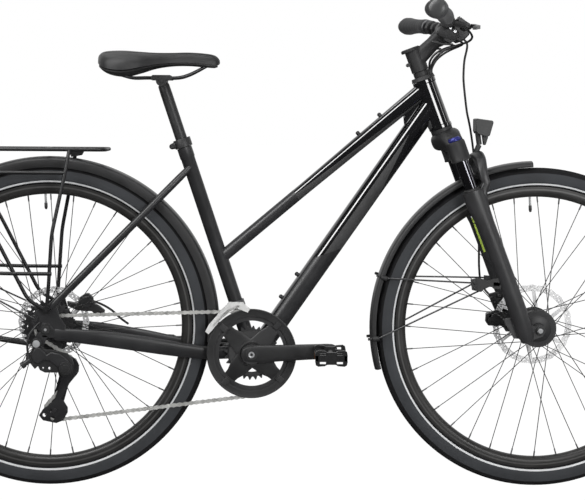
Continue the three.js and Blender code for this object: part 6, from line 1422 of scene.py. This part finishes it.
def lamp(name, place, target, length, width, brightness, turn=None):
    """A long flat lamp; its brightness is that of its face, where 1 is white."""
    data = bpy.data.lights.new(name, "AREA")
    data.shape = "RECTANGLE"
    data.size, data.size_y = length, width
    data.energy = brightness * math.pi * length * width
    made = bpy.data.objects.new(name, data)
    scene.collection.objects.link(made)
    way = (Vector(target) - Vector(place)).normalized()
    facing = way.to_track_quat("-Z", "Y").to_matrix()
    if turn:
        along = (Vector(turn) - way * way.dot(Vector(turn))).normalized()
        facing = Matrix((along, along.cross(way), -way)).transposed()
    made.matrix_world = Matrix.Translation(place) @ facing.to_4x4()
    return made


lamp("key", (1.54, -3.29, 1.35), (0.42, 0, 0.87), 1.3, 1.0, 12)
fill = lamp("fill", (-2.2, -3.2, 1.8), (-0.2, 0, 0.6), 1.6, 1.4, 1.8)
fill.visible_glossy = False
lamp("overhead", (-0.2, -0.25, 2.9), (0, 0, 0.8), 3.0, 0.32, 6)
lamp("right_end", (3.4, -1.0, 1.3), (0.4, 0, 0.8), 0.3, 1.6, 5)
glint = lamp("glint", (-1.55, -1.8, 2.45), (0.1, 0, 0.7), 3.2, 0.7, 14, turn=(0.71, 0, 0.70))
glint.visible_diffuse = False

# The floor shows white to the camera and keeps the bicycle's shadow.

floor_material = bpy.data.materials.new("white_floor")
floor_material.use_nodes = True
tree = floor_material.node_tree
shader = tree.nodes["Principled BSDF"]
shader.inputs["Roughness"].default_value = 0.8
shader.inputs["Specular IOR Level"].default_value = 0.1
tone = node(tree, "ShaderNodeValToRGB", node(tree, "ShaderNodeTexNoise", Scale=40))
for stop, grey in zip(tone.color_ramp.elements, (0.86, 0.9)):
    stop.color = (grey, grey, grey, 1)
tree.links.new(tone.outputs["Color"], shader.inputs["Base Color"])
rays = node(tree, "ShaderNodeLightPath").outputs
glow = node(tree, "ShaderNodeEmission", Strength=1.05)
share = node(tree, "ShaderNodeMath", rays["Is Camera Ray"], 0.96, operation="MULTIPLY")
mixed = node(tree, "ShaderNodeMixShader", share, shader, glow)
mirror = node(tree, "ShaderNodeEmission", Strength=0.06)
whole = node(tree, "ShaderNodeMixShader", rays["Is Glossy Ray"], mixed, mirror)
tree.links.new(whole.outputs[0], tree.nodes["Material Output"].inputs[0])

bm = bmesh.new()
bmesh.ops.create_grid(bm, x_segments=2, y_segments=2, size=40)
floor_mesh = bpy.data.meshes.new("floor")
bm.to_mesh(floor_mesh)
bm.free()
floor_mesh.materials.append(floor_material)
floor = bpy.data.objects.new("floor", floor_mesh)
scene.collection.objects.link(floor)

# The imported solids get plain finishes.

plain = {"frame_paint": charcoal, "steel": bright_steel, "dark_steel": dark_steel, "alloy": black_alloy,
         "tyre_rubber": tyre_black, "soft_rubber": grip_rubber, "black_plastic": soft_plastic,
         "saddle_cover": saddle_leather, "blue_alloy": blue_anodised, "red_lens": red_lens}
slots = {part["node"]: part["material_slot"] for part in frame["record"]["subparts"]}
for packed, made in frame["nodes"].items():
    made.data.materials.clear()
    made.data.materials.append(plain[slots[packed]])
